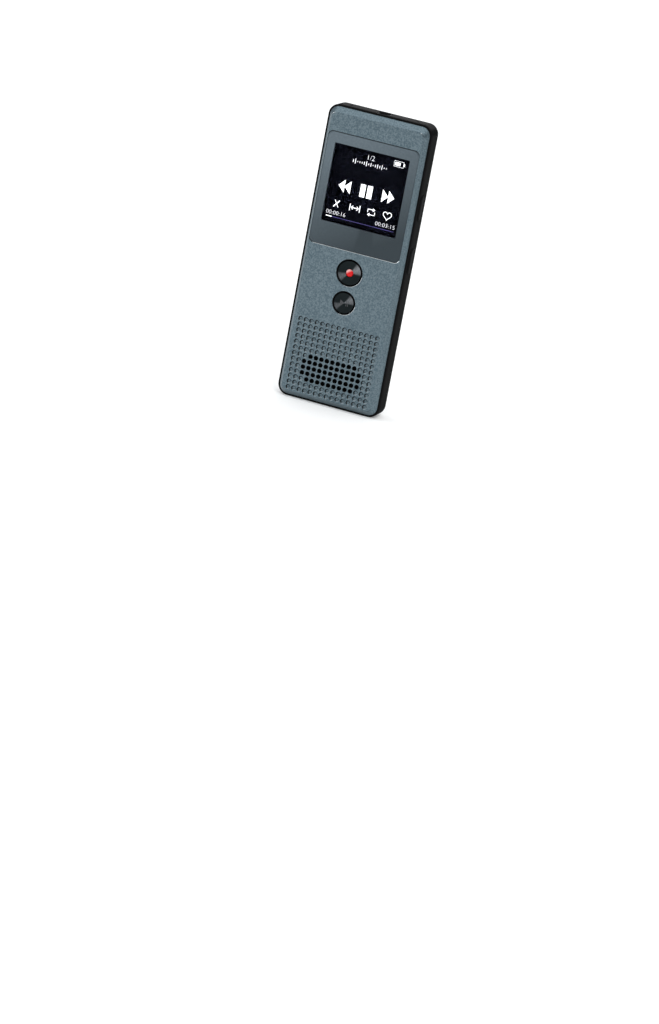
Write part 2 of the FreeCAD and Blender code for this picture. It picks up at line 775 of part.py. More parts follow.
def main_board():
    """Circuit board notched for the two sockets and drilled for its four screws."""
    body = new_body("main_board")
    outline = front_sketch(body, "outline", "board_depth", height="board_base + board_length / 2")
    rounded_rectangle(outline, "board_width", "board_length", "1")
    pad(body, outline, "board_thickness", along_normal=False)
    top = "board_base + board_length"
    for name, width, height, reach in (
        ("jack_notch", "jack_width + 0.6", top, f"2 * ({top} - jack_base + 0.3)"),
        ("usb_notch", "usb_width + 0.7", "board_base", "7"),
    ):
        notch = rounded_rectangle(front_sketch(body, name, "0", height=height), width, reach, "0.4")
        pocket(body, notch, "body_thickness")
    holes = front_sketch(body, "screw_holes", "0", "-board_screw_x", "board_screw_low")
    seed = pocket(body, circle(holes, "board_screw_radius + 0.15"), "body_thickness")
    grid(body, seed, holes, 2, "2 * board_screw_x", 2, "board_screw_step")


def switches():
    """Two switches under the front buttons, two behind the side keys, and the slide switch."""
    size = "front_switch_size"
    top = "board_depth - front_switch_thickness"
    for name in ("record", "play"):
        height = f"{name}_height"
        base = f"{height} - {size} / 2"
        case = block(f"{name}_switch_case", size, "front_switch_thickness", size, "0", top, base)
        tip = f"{top} - actuator_length"
        actuator = rod(f"{name}_actuator", "actuator_radius", "actuator_length", "0", tip, height)
        keep(fuse(f"{name}_switch", case, actuator), f"{name}_switch")
    depth = "board_depth - side_switch_thickness"
    middle = "side_switch_edge - side_switch_reach / 2"
    for name in ("volume", "menu"):
        height = f"{name}_height"
        case = block(
            f"{name}_switch_case",
            "side_switch_reach",
            "side_switch_thickness",
            "side_switch_length",
            middle,
            depth,
            f"{height} - side_switch_length / 2",
        )
        stem = ("0.7", "0.8", "1.6", "side_switch_edge + 0.3", f"{depth} + 0.25", f"{height} - 0.8")
        actuator = block(f"{name}_actuator", *stem)
        keep(fuse(f"{name}_switch", case, actuator), f"{name}_switch")
    slide = block(
        "power_switch",
        "slide_switch_width",
        "side_switch_thickness",
        "slide_switch_length",
        "-slide_switch_x",
        depth,
        "knob_height + knob_travel / 2 - slide_switch_length / 2",
    )
    keep(slide, "power_switch")


def chips():
    """Packages on the back of the board: name, width, thickness, length, x and height of the middle."""
    behind = "board_depth + board_thickness"
    for name, width, thickness, length, x, height in (
        ("processor_chip", 8.0, 0.9, 8.0, -4.6, 69.3),
        ("memory_chip", 8.0, 0.8, 6.0, 5.2, 69.3),
        ("audio_chip", 4.0, 0.8, 4.0, 0.5, 16.5),
        ("charger_chip", 3.0, 0.75, 3.0, 6.5, 16.5),
        ("crystal_can", 2.5, 0.8, 3.2, -11.0, 68.0),
        ("power_inductor", 4.0, 1.6, 4.0, -6.0, 16.0),
        ("battery_connector", 3.0, 2.0, 3.5, 11.0, 63.5),
    ):
        keep(block(name, width, thickness, length, x, behind, height - length / 2), name)
    small = (1.0, 0.8, 1.6)
    members = [block(f"capacitor_{i}", *small, 4 * i - 10, behind, 20.4) for i in range(6)]
    group("capacitors", members)


# Battery, loudspeaker, sockets and microphones


def battery():
    """Pouch cell, the tape that holds it to the board, and its protection board above it."""
    pouch = ("cell_width", "cell_thickness", "cell_length", "0", "cell_depth", "cell_base")
    rounded_block("battery_cell", "cell_round", block("cell_block", *pouch), "Z")
    width = "0.75 * cell_width"
    tape = ("0.8 * cell_length", "0", "cell_depth - 0.4", "cell_base + 0.1 * cell_length")
    keep(block("battery_tape", width, "tape_thickness", *tape), "battery_tape")
    guard = ("guard_length", "0", "cell_depth + 1.1", "cell_base + cell_length + 0.3")
    keep(block("battery_board", width, "guard_thickness", *guard), "battery_board")


def loudspeaker():
    """Oblong loudspeaker: foam gasket, basket, magnet, cone and the mesh behind the grille's holes."""
    gasket = new_body("speaker_gasket")
    sizes = ("speaker_width", "speaker_length", "speaker_corner")
    inner = (
        "speaker_width - 2 * speaker_rim",
        "speaker_length - 2 * speaker_rim",
        "speaker_corner - speaker_rim",
    )
    middle = "grille_height"
    ring = rounded_rectangle(front_sketch(gasket, "outline", "gasket_depth", height=middle), *sizes)
    pad(gasket, ring, "basket_depth - gasket_depth", along_normal=False)
    hole = rounded_rectangle(front_sketch(gasket, "hole", "0", height=middle), *inner)
    pocket(gasket, hole, "body_thickness")

    basket = new_body("speaker_basket")
    outline = front_sketch(basket, "outline", "basket_depth", height=middle)
    pad(basket, rounded_rectangle(outline, *sizes), "basket_thickness", along_normal=False)
    well = rounded_rectangle(front_sketch(basket, "well", "basket_depth", height=middle), *inner)
    pocket(basket, well, "0.45 * basket_thickness")
    seat = front_sketch(basket, "magnet_seat", "0", height=middle)
    rounded_rectangle(seat, "magnet_width + 0.2", "magnet_length + 0.2", "0.5")
    pocket(basket, seat, "body_thickness")

    magnet = block(
        "magnet_block",
        "magnet_width",
        "magnet_thickness",
        "magnet_length",
        "0",
        "basket_depth + basket_thickness - magnet_thickness",
        "grille_height - magnet_length / 2",
    )
    rounded_block("speaker_magnet", "0.5", magnet, "Y")

    cone = new_body("speaker_cone")
    sheet_face = front_sketch(cone, "outline", "basket_depth + 0.25", height="grille_height")
    rounded_rectangle(sheet_face, f"{inner[0]} - 0.3", f"{inner[1]} - 0.3", inner[2])
    pad(cone, sheet_face, "0.15", along_normal=False)
    dome = front_sketch(cone, "dome", "basket_depth + 0.1", height="grille_height")
    rounded_rectangle(dome, "0.5 * speaker_width", "0.45 * speaker_length", "0.2 * speaker_length")
    pad(cone, dome, "0.2", along_normal=False)

    mesh_base = "grille_height - speaker_length / 2 + 0.3"
    mesh = ("0.1", "speaker_length - 0.6", "0", "plate_wall + 0.03", mesh_base)
    keep(block("grille_mesh", "speaker_width - 0.6", *mesh), "grille_mesh")


def headphone_jack():
    """Moulded 3.5 mm socket with its collar in the frame's top wall."""
    body = new_body("headphone_jack")
    case = level_sketch(body, "case", "jack_base")
    rounded_rectangle(case, "jack_width", "jack_thickness", "0.4")
    pad(body, case, "jack_length")
    collar = circle(level_sketch(body, "collar", "jack_base + jack_length"), "jack_collar_radius")
    pad(body, collar, "jack_mouth - jack_base - jack_length")
    bore = circle(level_sketch(body, "bore", "jack_mouth"), "jack_bore_radius")
    pocket(body, bore, "jack_bore_length")


def usb_socket():
    """Small charging and data socket: a folded steel shell and the moulded tongue inside it."""
    body = new_body("usb_socket")
    shell = level_sketch(body, "shell", "usb_mouth")
    rounded_rectangle(shell, "usb_width", "usb_thickness", "usb_corner")
    pad(body, shell, "usb_length")
    mouth = level_sketch(body, "mouth", "usb_mouth")
    rounded_rectangle(
        mouth,
        "usb_width - 2 * usb_wall",
        "usb_thickness - 2 * usb_wall",
        "usb_corner - usb_wall",
    )
    pocket(body, mouth, "usb_length - usb_wall", along_normal=True)
    tongue_length = "usb_length - usb_wall - 1.05"
    tongue = ("0.6", tongue_length, "0", "port_depth - 0.6", "usb_mouth + 1")
    keep(block("usb_tongue", "0.5 * usb_width", *tongue), "usb_tongue")


def microphones():
    """Left and right microphone capsules, each in a rubber boot under its hole in the top wall."""
    for word, x in (("left", "-mic_x"), ("right", "mic_x")):
        boot = new_body(f"mic_boot_{word}")
        outline = circle(level_sketch(boot, "outline", "boot_base", x), "boot_radius")
        pad(boot, outline, "boot_top - boot_base")
        well = circle(level_sketch(boot, "well", "boot_base", x), "mic_radius + 0.05")
        pocket(boot, well, "boot_top - boot_base - 0.5", along_normal=True)
        port = circle(level_sketch(boot, "port", "boot_top", x), "mic_hole_radius")
        pocket(boot, port, "1")
        base = "boot_top - 0.55 - mic_length"
        name = f"microphone_{word}"
        keep(rod(name, "mic_radius", "mic_length", x, "port_depth", base, direction=(0, 0, 1)), name)


# The sheet, the sub-parts and their files


def fill_sheet():
    for row, (name, size) in enumerate(SIZES.items(), start=1):
        sheet.set(f"A{row}", name)
        sheet.set(f"B{row}", str(size))
        sheet.setAlias(f"B{row}", name)
    doc.recompute()


def build():
    fill_sheet()
    front_plate()
    middle_frame()
    back_cover()
    screen()
    keys()
    main_board()
    switches()
    chips()
    battery()
    loudspeaker()
    headphone_jack()
    usb_socket()
    microphones()
    screws(
        "board_screws",
        "board_screw_x",
        ("board_screw_low", "(board_screw_low + board_screw_step)"),
        "board_screw_radius",
        "plate_wall + 1",
        "board_head_radius",
        "(board_depth + board_thickness)",
        "board_head_thickness",
    )
    screws(
        "case_screws",
        "case_screw_x",
        ("case_screw_inset", "(body_length - case_screw_inset)"),
        "case_screw_radius",
        "case_block_depth + 0.4",
        "case_head_radius",
        "case_head_depth",
        "case_head_thickness",
    )
    doc.recompute()


def write_files():
    """Checks every object and writes each sub-part to its own file."""
    for item in doc.Objects:
        if "Invalid" in item.State or "Error" in item.State:
            raise RuntimeError(f"{item.Name} failed: {item.State}")
    os.makedirs("parts", exist_ok=True)
    for item in sub_parts:
        shape = item.Shape
        if shape.isNull() or not shape.isValid() or not shape.Solids:
            raise RuntimeError(f"{item.Label} has no valid solid")
        shape.exportStep(f"parts/{item.Label}.step")
        print(f"{item.Label:18s} {len(shape.Solids)} solid(s) {shape.Volume:9.2f} mm3")


build()
write_files()
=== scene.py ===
import json
import logging
import math
from dataclasses import dataclass
from enum import Enum, IntEnum
from typing import ClassVar

import bmesh
import bpy
from mathutils import Matrix, Vector
from mathutils.geometry import delaunay_2d_cdt


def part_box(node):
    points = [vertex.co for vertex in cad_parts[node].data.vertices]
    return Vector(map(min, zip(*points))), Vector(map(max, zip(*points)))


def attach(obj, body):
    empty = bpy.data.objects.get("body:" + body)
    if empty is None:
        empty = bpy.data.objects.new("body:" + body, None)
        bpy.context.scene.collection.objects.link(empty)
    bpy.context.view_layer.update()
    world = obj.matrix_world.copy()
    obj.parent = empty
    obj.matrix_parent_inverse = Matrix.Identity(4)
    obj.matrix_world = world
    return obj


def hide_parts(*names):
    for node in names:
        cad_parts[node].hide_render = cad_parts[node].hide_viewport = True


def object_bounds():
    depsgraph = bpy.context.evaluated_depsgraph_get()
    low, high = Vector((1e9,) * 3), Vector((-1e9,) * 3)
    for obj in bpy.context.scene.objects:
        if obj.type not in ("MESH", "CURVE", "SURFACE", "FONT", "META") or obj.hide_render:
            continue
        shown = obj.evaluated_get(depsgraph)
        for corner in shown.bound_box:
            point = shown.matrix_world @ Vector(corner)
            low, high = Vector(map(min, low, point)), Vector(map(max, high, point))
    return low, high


# A handheld voice recorder, standing upright: +Z is up along its length, and the screen faces -Y.
# Shapes are given in millimetres: across from the middle, back from the front face, and up.

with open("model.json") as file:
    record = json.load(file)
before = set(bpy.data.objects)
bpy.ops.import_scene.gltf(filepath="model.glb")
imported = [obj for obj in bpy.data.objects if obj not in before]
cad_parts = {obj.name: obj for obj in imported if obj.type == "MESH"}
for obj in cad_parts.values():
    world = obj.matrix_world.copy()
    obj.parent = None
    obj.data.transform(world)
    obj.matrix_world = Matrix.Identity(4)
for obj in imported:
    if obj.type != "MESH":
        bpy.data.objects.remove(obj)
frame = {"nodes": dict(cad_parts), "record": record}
CAD_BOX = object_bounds()
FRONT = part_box("front_plate")[0].y
MM = 0.001
LOG = logging.getLogger("recorder")
TRIANGLES_INSIDE = 1
GRAIN_RANGE = (0.36, 0.64)
LIP_MIDDLE = 0.3

Colour = tuple[float, float, float]
Point = tuple[float, float]
Value = bpy.types.NodeSocket | float | tuple[float, ...]


class Body(Enum):
    """The bodies that pieces ride on."""

    CASE = "case"
    RECORD = "record"
    PLAY = "play"
    VOLUME = "volume"
    MENU = "menu"
    POWER = "power"


class Wall(IntEnum):
    """The front plate's own finish and its painted light and shade, in the order of its material slots."""

    FACE = 0
    SHADED = 1
    DEEP_SHADE = 2
    LIT = 3
    LIP_HIGHLIGHT = 4


@dataclass(frozen=True)
class Place:
    """Where a CAD node lies, in millimetres."""

    left: float
    right: float
    front: float
    back: float
    low: float
    high: float

    @classmethod
    def of(cls, node: str) -> "Place":
        """Reads a node's box.

        Args:
            node: the CAD node's name.

        Returns:
            Its place, with depths measured back from the front face.
        """
        least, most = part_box(node)
        front, back = (least.y - FRONT) / MM, (most.y - FRONT) / MM
        return cls(least.x / MM, most.x / MM, front, back, least.z / MM, most.z / MM)

    @property
    def x(self) -> float:
        """The middle, across."""
        return (self.left + self.right) / 2

    @property
    def height(self) -> float:
        """The middle, upwards."""
        return (self.low + self.high) / 2

    @property
    def half_width(self) -> float:
        """Half the width across."""
        return (self.right - self.left) / 2

    @property
    def half_length(self) -> float:
        """Half the length upwards."""
        return (self.high - self.low) / 2


# Materials


def feed(tree: bpy.types.NodeTree, socket: bpy.types.NodeSocket, value: Value) -> None:
    """Links a changing value to an input, or sets the input to a constant one.

    Args:
        tree: the nodes.
        socket: the input.
        value: another node's output, a number, a vector or a colour.
    """
    if isinstance(value, bpy.types.NodeSocket):
        tree.links.new(value, socket)
    else:
        socket.default_value = value


def add(
    tree: bpy.types.NodeTree, kind: str, inputs: dict[str | int, Value],
    **settings: str | bpy.types.NodeTree,
) -> bpy.types.Node:
    """Adds a shader node.

    Args:
        tree: where it goes.
        kind: its type.
        inputs: what goes into its inputs, by their names or numbers.
        settings: its other settings.

    Returns:
        The node.
    """
    node = tree.nodes.new(f"ShaderNode{kind}")
    for name, setting in settings.items():
        setattr(node, name, setting)
    for name, value in inputs.items():
        feed(tree, node.inputs[name], value)
    return node


def maths(tree: bpy.types.NodeTree, operation: str, *values: Value) -> bpy.types.NodeSocket:
    """Adds a maths node, fed in order, and returns its result."""
    return add(tree, "Math", dict(enumerate(values)), operation=operation).outputs[0]


def mix(tree: bpy.types.NodeTree, share: Value, first: Value, second: Value) -> bpy.types.NodeSocket:
    """Adds a node that mixes a share of a second colour into a first, and returns its result."""
    return add(tree, "Mix", {0: share, 6: first, 7: second}, data_type="RGBA").outputs[2]


def ramp(
    tree: bpy.types.NodeTree, value: Value, start: float, end: float, peak: float = 1.0,
    shape: str = "SMOOTHSTEP",
) -> bpy.types.NodeSocket:
    """Adds a ramp.

    Args:
        tree: where it goes.
        value: what it follows.
        start: where it leaves 0.
        end: where it reaches its peak.
        peak: its highest value.
        shape: SMOOTHSTEP or LINEAR.

    Returns:
        The ramp's value.
    """
    inputs = {"Value": value, "From Min": start, "From Max": end, "To Max": peak}
    return add(tree, "MapRange", inputs, interpolation_type=shape).outputs["Result"]


def solid(colour: Colour) -> tuple[float, float, float, float]:
    """A colour with full alpha."""
    return (*colour, 1.0)


def grain_group() -> bpy.types.NodeTree:
    """Builds the shared grain: two layers of noise that vary colour, roughness and height.

    Returns:
        The group, with Colour, Roughness and Normal outputs.
    """
    group = bpy.data.node_groups.new("surface_grain", "ShaderNodeTree")
    wanted = {"Vector": "Vector", "Colour": "Color", "Second Colour": "Color"}
    wanted.update({name: "Float" for name in ("Scale", "Patches", "Roughness", "Spread", "Depth")})
    found = {"Colour": "Color", "Roughness": "Float", "Normal": "Vector"}
    for way, sockets in (("INPUT", wanted), ("OUTPUT", found)):
        for name, kind in sockets.items():
            group.interface.new_socket(name=name, in_out=way, socket_type=f"NodeSocket{kind}")
    given = group.nodes.new("NodeGroupInput").outputs
    fine_inputs = {"Vector": given["Vector"], "Scale": given["Scale"], "Detail": 2.0}
    broad_inputs = {"Vector": given["Vector"], "Scale": given["Patches"], "Detail": 3.0}
    fine = add(group, "TexNoise", fine_inputs).outputs["Fac"]
    broad = add(group, "TexNoise", broad_inputs).outputs["Fac"]
    steep = ramp(group, fine, *GRAIN_RANGE, shape="LINEAR")
    centred = maths(group, "SUBTRACT", broad, 0.5)
    spread = maths(group, "MULTIPLY_ADD", centred, given["Spread"], given["Roughness"])
    relief = maths(group, "MULTIPLY", fine, given["Depth"])
    out = group.nodes.new("NodeGroupOutput")
    feed(group, out.inputs["Colour"], mix(group, steep, given["Colour"], given["Second Colour"]))
    feed(group, out.inputs["Roughness"], spread)
    bump = add(group, "Bump", {"Height": relief, "Distance": 1.0})
    feed(group, out.inputs["Normal"], bump.outputs["Normal"])
    return group


GRAIN = grain_group()


@dataclass(frozen=True)
class Parts:
    """The parts of a material that a finish builds on."""

    tree: bpy.types.NodeTree
    shader: bpy.types.Node
    place: bpy.types.NodeSocket
    colour: bpy.types.NodeSocket


@dataclass(frozen=True)
class Finish:
    """A surface with a grain: moulded, blasted, brushed, printed or plated.

    Scales are in grains to the metre, and depth is in metres.
    """

    slot: str
    colour: Colour
    second: Colour
    name: str = ""
    metallic: float = 0.0
    roughness: float = 0.5
    spread: float = 0.1
    scale: float = 3000.0
    patches: float = 60.0
    depth: float = 0.000004
    stretch: tuple[float, float, float] = (1.0, 1.0, 1.0)
    specular: float = 0.5
    coat: float = 0.0
    coat_roughness: float = 0.05

    def material(self) -> bpy.types.Material:
        """Makes the finish's material, or finds it if it was made before."""
        name = f"finish_{self.name or self.slot}"
        return bpy.data.materials.get(name) or self.make(name)

    def make(self, name: str) -> bpy.types.Material:
        """Makes the material.

        Args:
            name: its name.

        Returns:
            The new material, with its grain in Object coordinates.
        """
        material = bpy.data.materials.new(name)
        material.use_nodes = True
        tree = material.node_tree
        shader = tree.nodes["Principled BSDF"]
        found = add(tree, "TexCoord", {}).outputs["Object"]
        moved = {"Vector": found, "Scale": self.stretch, "Location": self.shift()}
        place = add(tree, "Mapping", moved).outputs["Vector"]
        given = {
            "Vector": place, "Scale": self.scale, "Colour": solid(self.colour),
            "Second Colour": solid(self.second), "Patches": self.patches, "Roughness": self.roughness,
            "Spread": self.spread, "Depth": self.depth,
        }
        grain = add(tree, "Group", given, node_tree=GRAIN).outputs
        wanted = {
            "Metallic": self.metallic, "Specular IOR Level": self.specular, "Coat Weight": self.coat,
            "Coat Roughness": self.coat_roughness, "Roughness": grain["Roughness"], "Normal": grain["Normal"],
        }
        for socket, value in wanted.items():
            feed(tree, shader.inputs[socket], value)
        colour = self.dress(Parts(tree, shader, place, grain["Colour"]))
        tree.links.new(colour, shader.inputs["Base Color"])
        return material

    def shift(self) -> tuple[float, float, float]:
        """How far the pattern is moved, in metres."""
        return (0.0, 0.0, 0.0)

    def dress(self, parts: Parts) -> bpy.types.NodeSocket:
        """Adds what one kind of finish has besides its grain, and returns the surface's colour."""
        return parts.colour


@dataclass(frozen=True)
class SpunAndHighlightFinish(Finish):
    """Black-chromed metal turned on a lathe, with fine rings, a bright and a fainter painted highlight fan,
    painted shade between the fans, and near-black painted shade on the rounded rim.
    """

    axis_x: float = 0.0
    axis_height: float = 0.0
    face_radius: float = 3.0
    # Width of the near-black painted shade on the rounded rim.
    rim_width: float = 0.22
    ring_pitch: float = 0.42
    ring_share: float = 0.3
    # Where the painted highlight fans point, and how wide and strong they are.
    highlight_fan_turn: float = math.radians(30)
    highlight_fan_half: float = math.radians(35)
    faint_highlight_half: float = math.radians(27)
    highlight_fan_core: float = math.radians(1)
    strength: float = 1.0
    faint_highlight_share: float = 0.55
    anisotropy: float = 0.7
    # Painted shade between the fans.
    painted_shade: Colour = (0.012, 0.016, 0.017)
    # Near-black painted shade on the rounded rim.
    rim: Colour = (0.003, 0.003, 0.0035)

    def shift(self) -> tuple[float, float, float]:
        """Puts the button's axis at the pattern's origin."""
        return (-self.axis_x * MM, 0.0, -self.axis_height * MM)

    def fan(
        self, tree: bpy.types.NodeTree, facing: bpy.types.NodeSocket, side: float, half: float, peak: float
    ) -> bpy.types.NodeSocket:
        """Adds one soft-edged fan of painted highlight.

        Args:
            tree: the material's nodes.
            facing: cosine of the angle from the bright fan's middle.
            side: 1 for the bright fan, or -1 for the one across from it.
            half: angle from its middle to its edge.
            peak: how strong it is in its middle.

        Returns:
            The painted highlight's share of the surface's colour.
        """
        return ramp(tree, facing, side * math.cos(half), side * math.cos(self.highlight_fan_core), peak)

    def dress(self, parts: Parts) -> bpy.types.NodeSocket:
        """Adds turned rings, the painted highlight fans, painted shade between them and on the rim, and the
        anisotropy that goes with turning.

        Args:
            parts: what the material has so far.

        Returns:
            The colour, with painted highlight fans about the axis and painted shade elsewhere.
        """
        tree, shader = parts.tree, parts.shader
        shader.inputs["Anisotropic"].default_value = self.anisotropy
        tangent = add(tree, "Tangent", {}, direction_type="RADIAL", axis="Y")
        tree.links.new(tangent.outputs["Tangent"], shader.inputs["Tangent"])
        pitch = {"Vector": parts.place, "Scale": 2.0 / (self.ring_pitch * MM) / math.tau, "Distortion": 0.0}
        rings = add(tree, "TexWave", pitch, wave_type="RINGS", rings_direction="Y").outputs["Fac"]
        apart = add(tree, "SeparateXYZ", {"Vector": parts.place}).outputs
        angle = maths(tree, "ARCTAN2", apart["Z"], apart["X"])
        facing = maths(tree, "COSINE", maths(tree, "SUBTRACT", angle, self.highlight_fan_turn))
        # Painted highlight: a bright fan and a fainter one across from it, ringed by the turning.
        bright = self.fan(tree, facing, 1.0, self.highlight_fan_half, self.strength)
        faint = self.fan(tree, facing, -1.0, self.faint_highlight_half, self.strength * self.faint_highlight_share)
        ringed = maths(tree, "MULTIPLY_ADD", rings, self.ring_share, 1.0 - self.ring_share)
        share = maths(tree, "MULTIPLY", maths(tree, "ADD", bright, faint), ringed)
        # Painted shade where no fan lies.
        fanned = mix(tree, share, solid(self.painted_shade), parts.colour)
        flat = add(tree, "CombineXYZ", {"X": apart["X"], "Z": apart["Z"]}).outputs["Vector"]
        reach = add(tree, "VectorMath", {0: flat}, operation="LENGTH").outputs["Value"]
        # Painted shade: the rounded rim turns near black.
        outside = maths(tree, "GREATER_THAN", reach, (self.face_radius - self.rim_width) * MM)
        return mix(tree, outside, fanned, solid(self.rim))


@dataclass(frozen=True)
class JewelFinish(Finish):
    """Clear red, with a pale painted highlight towards the upper left."""

    axis_x: float = 0.0
    axis_height: float = 0.0
    painted_highlight_turn: float = math.radians(125)
    painted_highlight_start: float = 0.0
    painted_highlight_end: float = 0.95
    painted_highlight_share: float = 0.75
    # Colour of the painted highlight.
    pale: Colour = (0.95, 0.62, 0.60)

    def dress(self, parts: Parts) -> bpy.types.NodeSocket:
        """Blends the painted highlight in across the jewel.

        Args:
            parts: what the material has so far.

        Returns:
            The colour with the painted highlight in it.
        """
        tree = parts.tree
        axis = (self.axis_x * MM, 0.0, self.axis_height * MM)
        towards = (math.cos(self.painted_highlight_turn), 0.0, math.sin(self.painted_highlight_turn))
        away = add(tree, "VectorMath", {0: parts.place, 1: axis}, operation="SUBTRACT").outputs["Vector"]
        along = add(tree, "VectorMath", {0: away, 1: towards}, operation="DOT_PRODUCT").outputs["Value"]
        # Painted highlight: pale towards the upper left of the dome.
        glow = ramp(tree, along, self.painted_highlight_start * MM, self.painted_highlight_end * MM, self.painted_highlight_share)
        return mix(tree, glow, parts.colour, solid(self.pale))


@dataclass(frozen=True)
class PrintAndReflectionFinish(Finish):
    """Metallic ink behind a clear hard coat, with a painted reflection that grows darker from the upper left
    to the lower right.
    """

    # Where the painted reflection fades, and where its streak lies.
    reflection_fade_low: float = 47.0
    reflection_fade_high: float = 82.0
    reflection_lean: float = 0.55
    reflection_shade: Colour = (0.024, 0.036, 0.044)
    reflection_streak_x: float = 2.6
    reflection_streak_width: float = 3.2
    reflection_streak_top: float = 54.52
    reflection_streak_share: float = 0.3

    def dress(self, parts: Parts) -> bpy.types.NodeSocket:
        """Paints a darker reflection across the lens, towards the lower right, with a soft darker painted
        streak of reflection below the picture.

        Args:
            parts: what the material has so far.

        Returns:
            The ink's colour with the painted reflection.
        """
        tree = parts.tree
        apart = add(tree, "SeparateXYZ", {"Vector": parts.place}).outputs
        # Painted reflection: darker towards the lower right, and in a soft streak below the picture.
        slant = maths(tree, "MULTIPLY_ADD", apart["X"], -self.reflection_lean, apart["Z"])
        fade = ramp(tree, slant, self.reflection_fade_high * MM, self.reflection_fade_low * MM, shape="LINEAR")
        away = maths(tree, "ABSOLUTE", maths(tree, "SUBTRACT", apart["X"], self.reflection_streak_x * MM))
        streak = ramp(tree, away, self.reflection_streak_width * MM, 0.0, self.reflection_streak_share)
        below = maths(tree, "LESS_THAN", apart["Z"], self.reflection_streak_top * MM)
        share = maths(tree, "MULTIPLY_ADD", streak, below, fade)
        share.node.use_clamp = True
        return mix(tree, share, parts.colour, solid(self.reflection_shade))


@dataclass(frozen=True)
class GlassFinish(Finish):
    """Clear plastic with a coating against glare: light goes straight through it."""

    refraction: float = 1.0

    def dress(self, parts: Parts) -> bpy.types.NodeSocket:
        """Lets light through.

        Args:
            parts: what the material has so far.

        Returns:
            The same colour.
        """
        parts.shader.inputs["Transmission Weight"].default_value = 1.0
        parts.shader.inputs["IOR"].default_value = self.refraction
        return parts.colour


@dataclass(frozen=True)
class GlowFinish(Finish):
    """Lit picture elements of the screen."""

    glow: float = 1.0

    def dress(self, parts: Parts) -> bpy.types.NodeSocket:
        """Lights the surface in its own colour.

        Args:
            parts: what the material has so far.

        Returns:
            The same colour.
        """
        parts.tree.links.new(parts.colour, parts.shader.inputs["Emission Color"])
        parts.shader.inputs["Emission Strength"].default_value = self.glow
        return parts.colour


@dataclass(frozen=True)
class CellFinish(Finish):
    """A surface with a repeated pattern of fine cells: woven mesh, copper tracks or a pouch's embossing."""

    cell: float = 0.4
    line: Colour = (0.1, 0.1, 0.1)
    share: float = 0.12
    relief: float = 0.00002
    unevenness: float = 0.35

    def dress(self, parts: Parts) -> bpy.types.NodeSocket:
        """Draws the cells' borders in a colour of their own, and raises them.

        Args:
            parts: what the material has so far.

        Returns:
            The colour with the cells' borders on it.
        """
        tree = parts.tree
        wanted = {"Vector": parts.place, "Scale": 1.0 / (self.cell * MM), "Randomness": self.unevenness}
        cells = add(tree, "TexVoronoi", wanted, feature="DISTANCE_TO_EDGE").outputs["Distance"]
        edge = maths(tree, "LESS_THAN", cells, self.share)
        bump = add(tree, "Bump", {"Height": edge, "Distance": self.relief}).outputs["Normal"]
        tree.links.new(bump, parts.shader.inputs["Normal"])
        return mix(tree, edge, parts.colour, solid(self.line))


ANODISED = Finish(
    "front_plate_anodised", (0.088, 0.128, 0.152), (0.158, 0.210, 0.238), metallic=0.85, roughness=0.42,
    spread=0.05, scale=2500.0, patches=40.0, depth=0.00005,
)
# Painted shade: a near-black copy of the plate for pit walls and lips that face away from the light.
SHADED_WALLS = Finish(
    "front_plate_anodised", (0.006, 0.008, 0.009), (0.012, 0.016, 0.018), name="shaded_walls", metallic=0.6,
    roughness=0.55, scale=3000.0, depth=0.00001,
)
# Painted light: a lighter copy of the plate for pit walls that face the light.
LIT_WALLS = Finish(
    "front_plate_anodised", (0.22, 0.27, 0.30), (0.32, 0.38, 0.41), name="lit_walls", metallic=0.85,
    roughness=0.42, scale=3000.0, depth=0.00001,
)
# Painted highlight: a bright copy of the plate for sloping lips that face the light.
PAINTED_LIP_HIGHLIGHT = Finish(
    "front_plate_anodised", (0.74, 0.78, 0.80), (0.86, 0.89, 0.91), name="painted_lip_highlight", metallic=1.0,
    roughness=0.28, scale=3000.0, depth=0.000004,
)
# Painted shade: near black for steep walls far inside the holes and openings.
PAINTED_HOLE_SHADE = Finish(
    "front_plate_anodised", (0.0022, 0.0026, 0.0028), (0.0040, 0.0045, 0.0048), name="painted_hole_shade",
    roughness=0.7, scale=3000.0, depth=0.00001, specular=0.1,
)
# Lens border: printed ink with a painted reflection.
PRINT_AND_REFLECTION = PrintAndReflectionFinish(
    "lens_gloss", (0.105, 0.137, 0.160), (0.120, 0.154, 0.178), metallic=0.55, roughness=0.30, spread=0.03,
    scale=1400.0, depth=0.0, specular=0.3, coat=0.25, coat_roughness=0.03,
)
CLEAR = GlassFinish(
    "lens_gloss", (0.98, 0.985, 0.99), (1.0, 1.0, 1.0), name="lens_clear", roughness=0.0, spread=0.0,
    scale=300.0, depth=0.0,
)
PANEL = Finish(
    "screen_glass", (0.0022, 0.0026, 0.0052), (0.0032, 0.0037, 0.0075), roughness=0.5, spread=0.04,
    scale=9000.0, depth=0.0, specular=0.02,
)
FRAME_BLACK = Finish(
    "frame_black", (0.0040, 0.0040, 0.0043), (0.0066, 0.0066, 0.0071), roughness=0.42, spread=0.12,
    scale=5200.0, depth=0.000006, specular=0.0, coat=0.055, coat_roughness=0.2,
)
COVER_BLACK = Finish(
    "cover_black", (0.0070, 0.0070, 0.0074), (0.0125, 0.0125, 0.0132), roughness=0.56, spread=0.10,
    scale=3800.0, depth=0.00002, specular=0.03, coat=0.06, coat_roughness=0.45,
)
KEY_BLACK = Finish(
    "key_black", (0.0046, 0.0046, 0.0050), (0.0072, 0.0072, 0.0078), roughness=0.3, spread=0.08, scale=4000.0,
    depth=0.000002, specular=0.0, coat=0.10, coat_roughness=0.10,
)
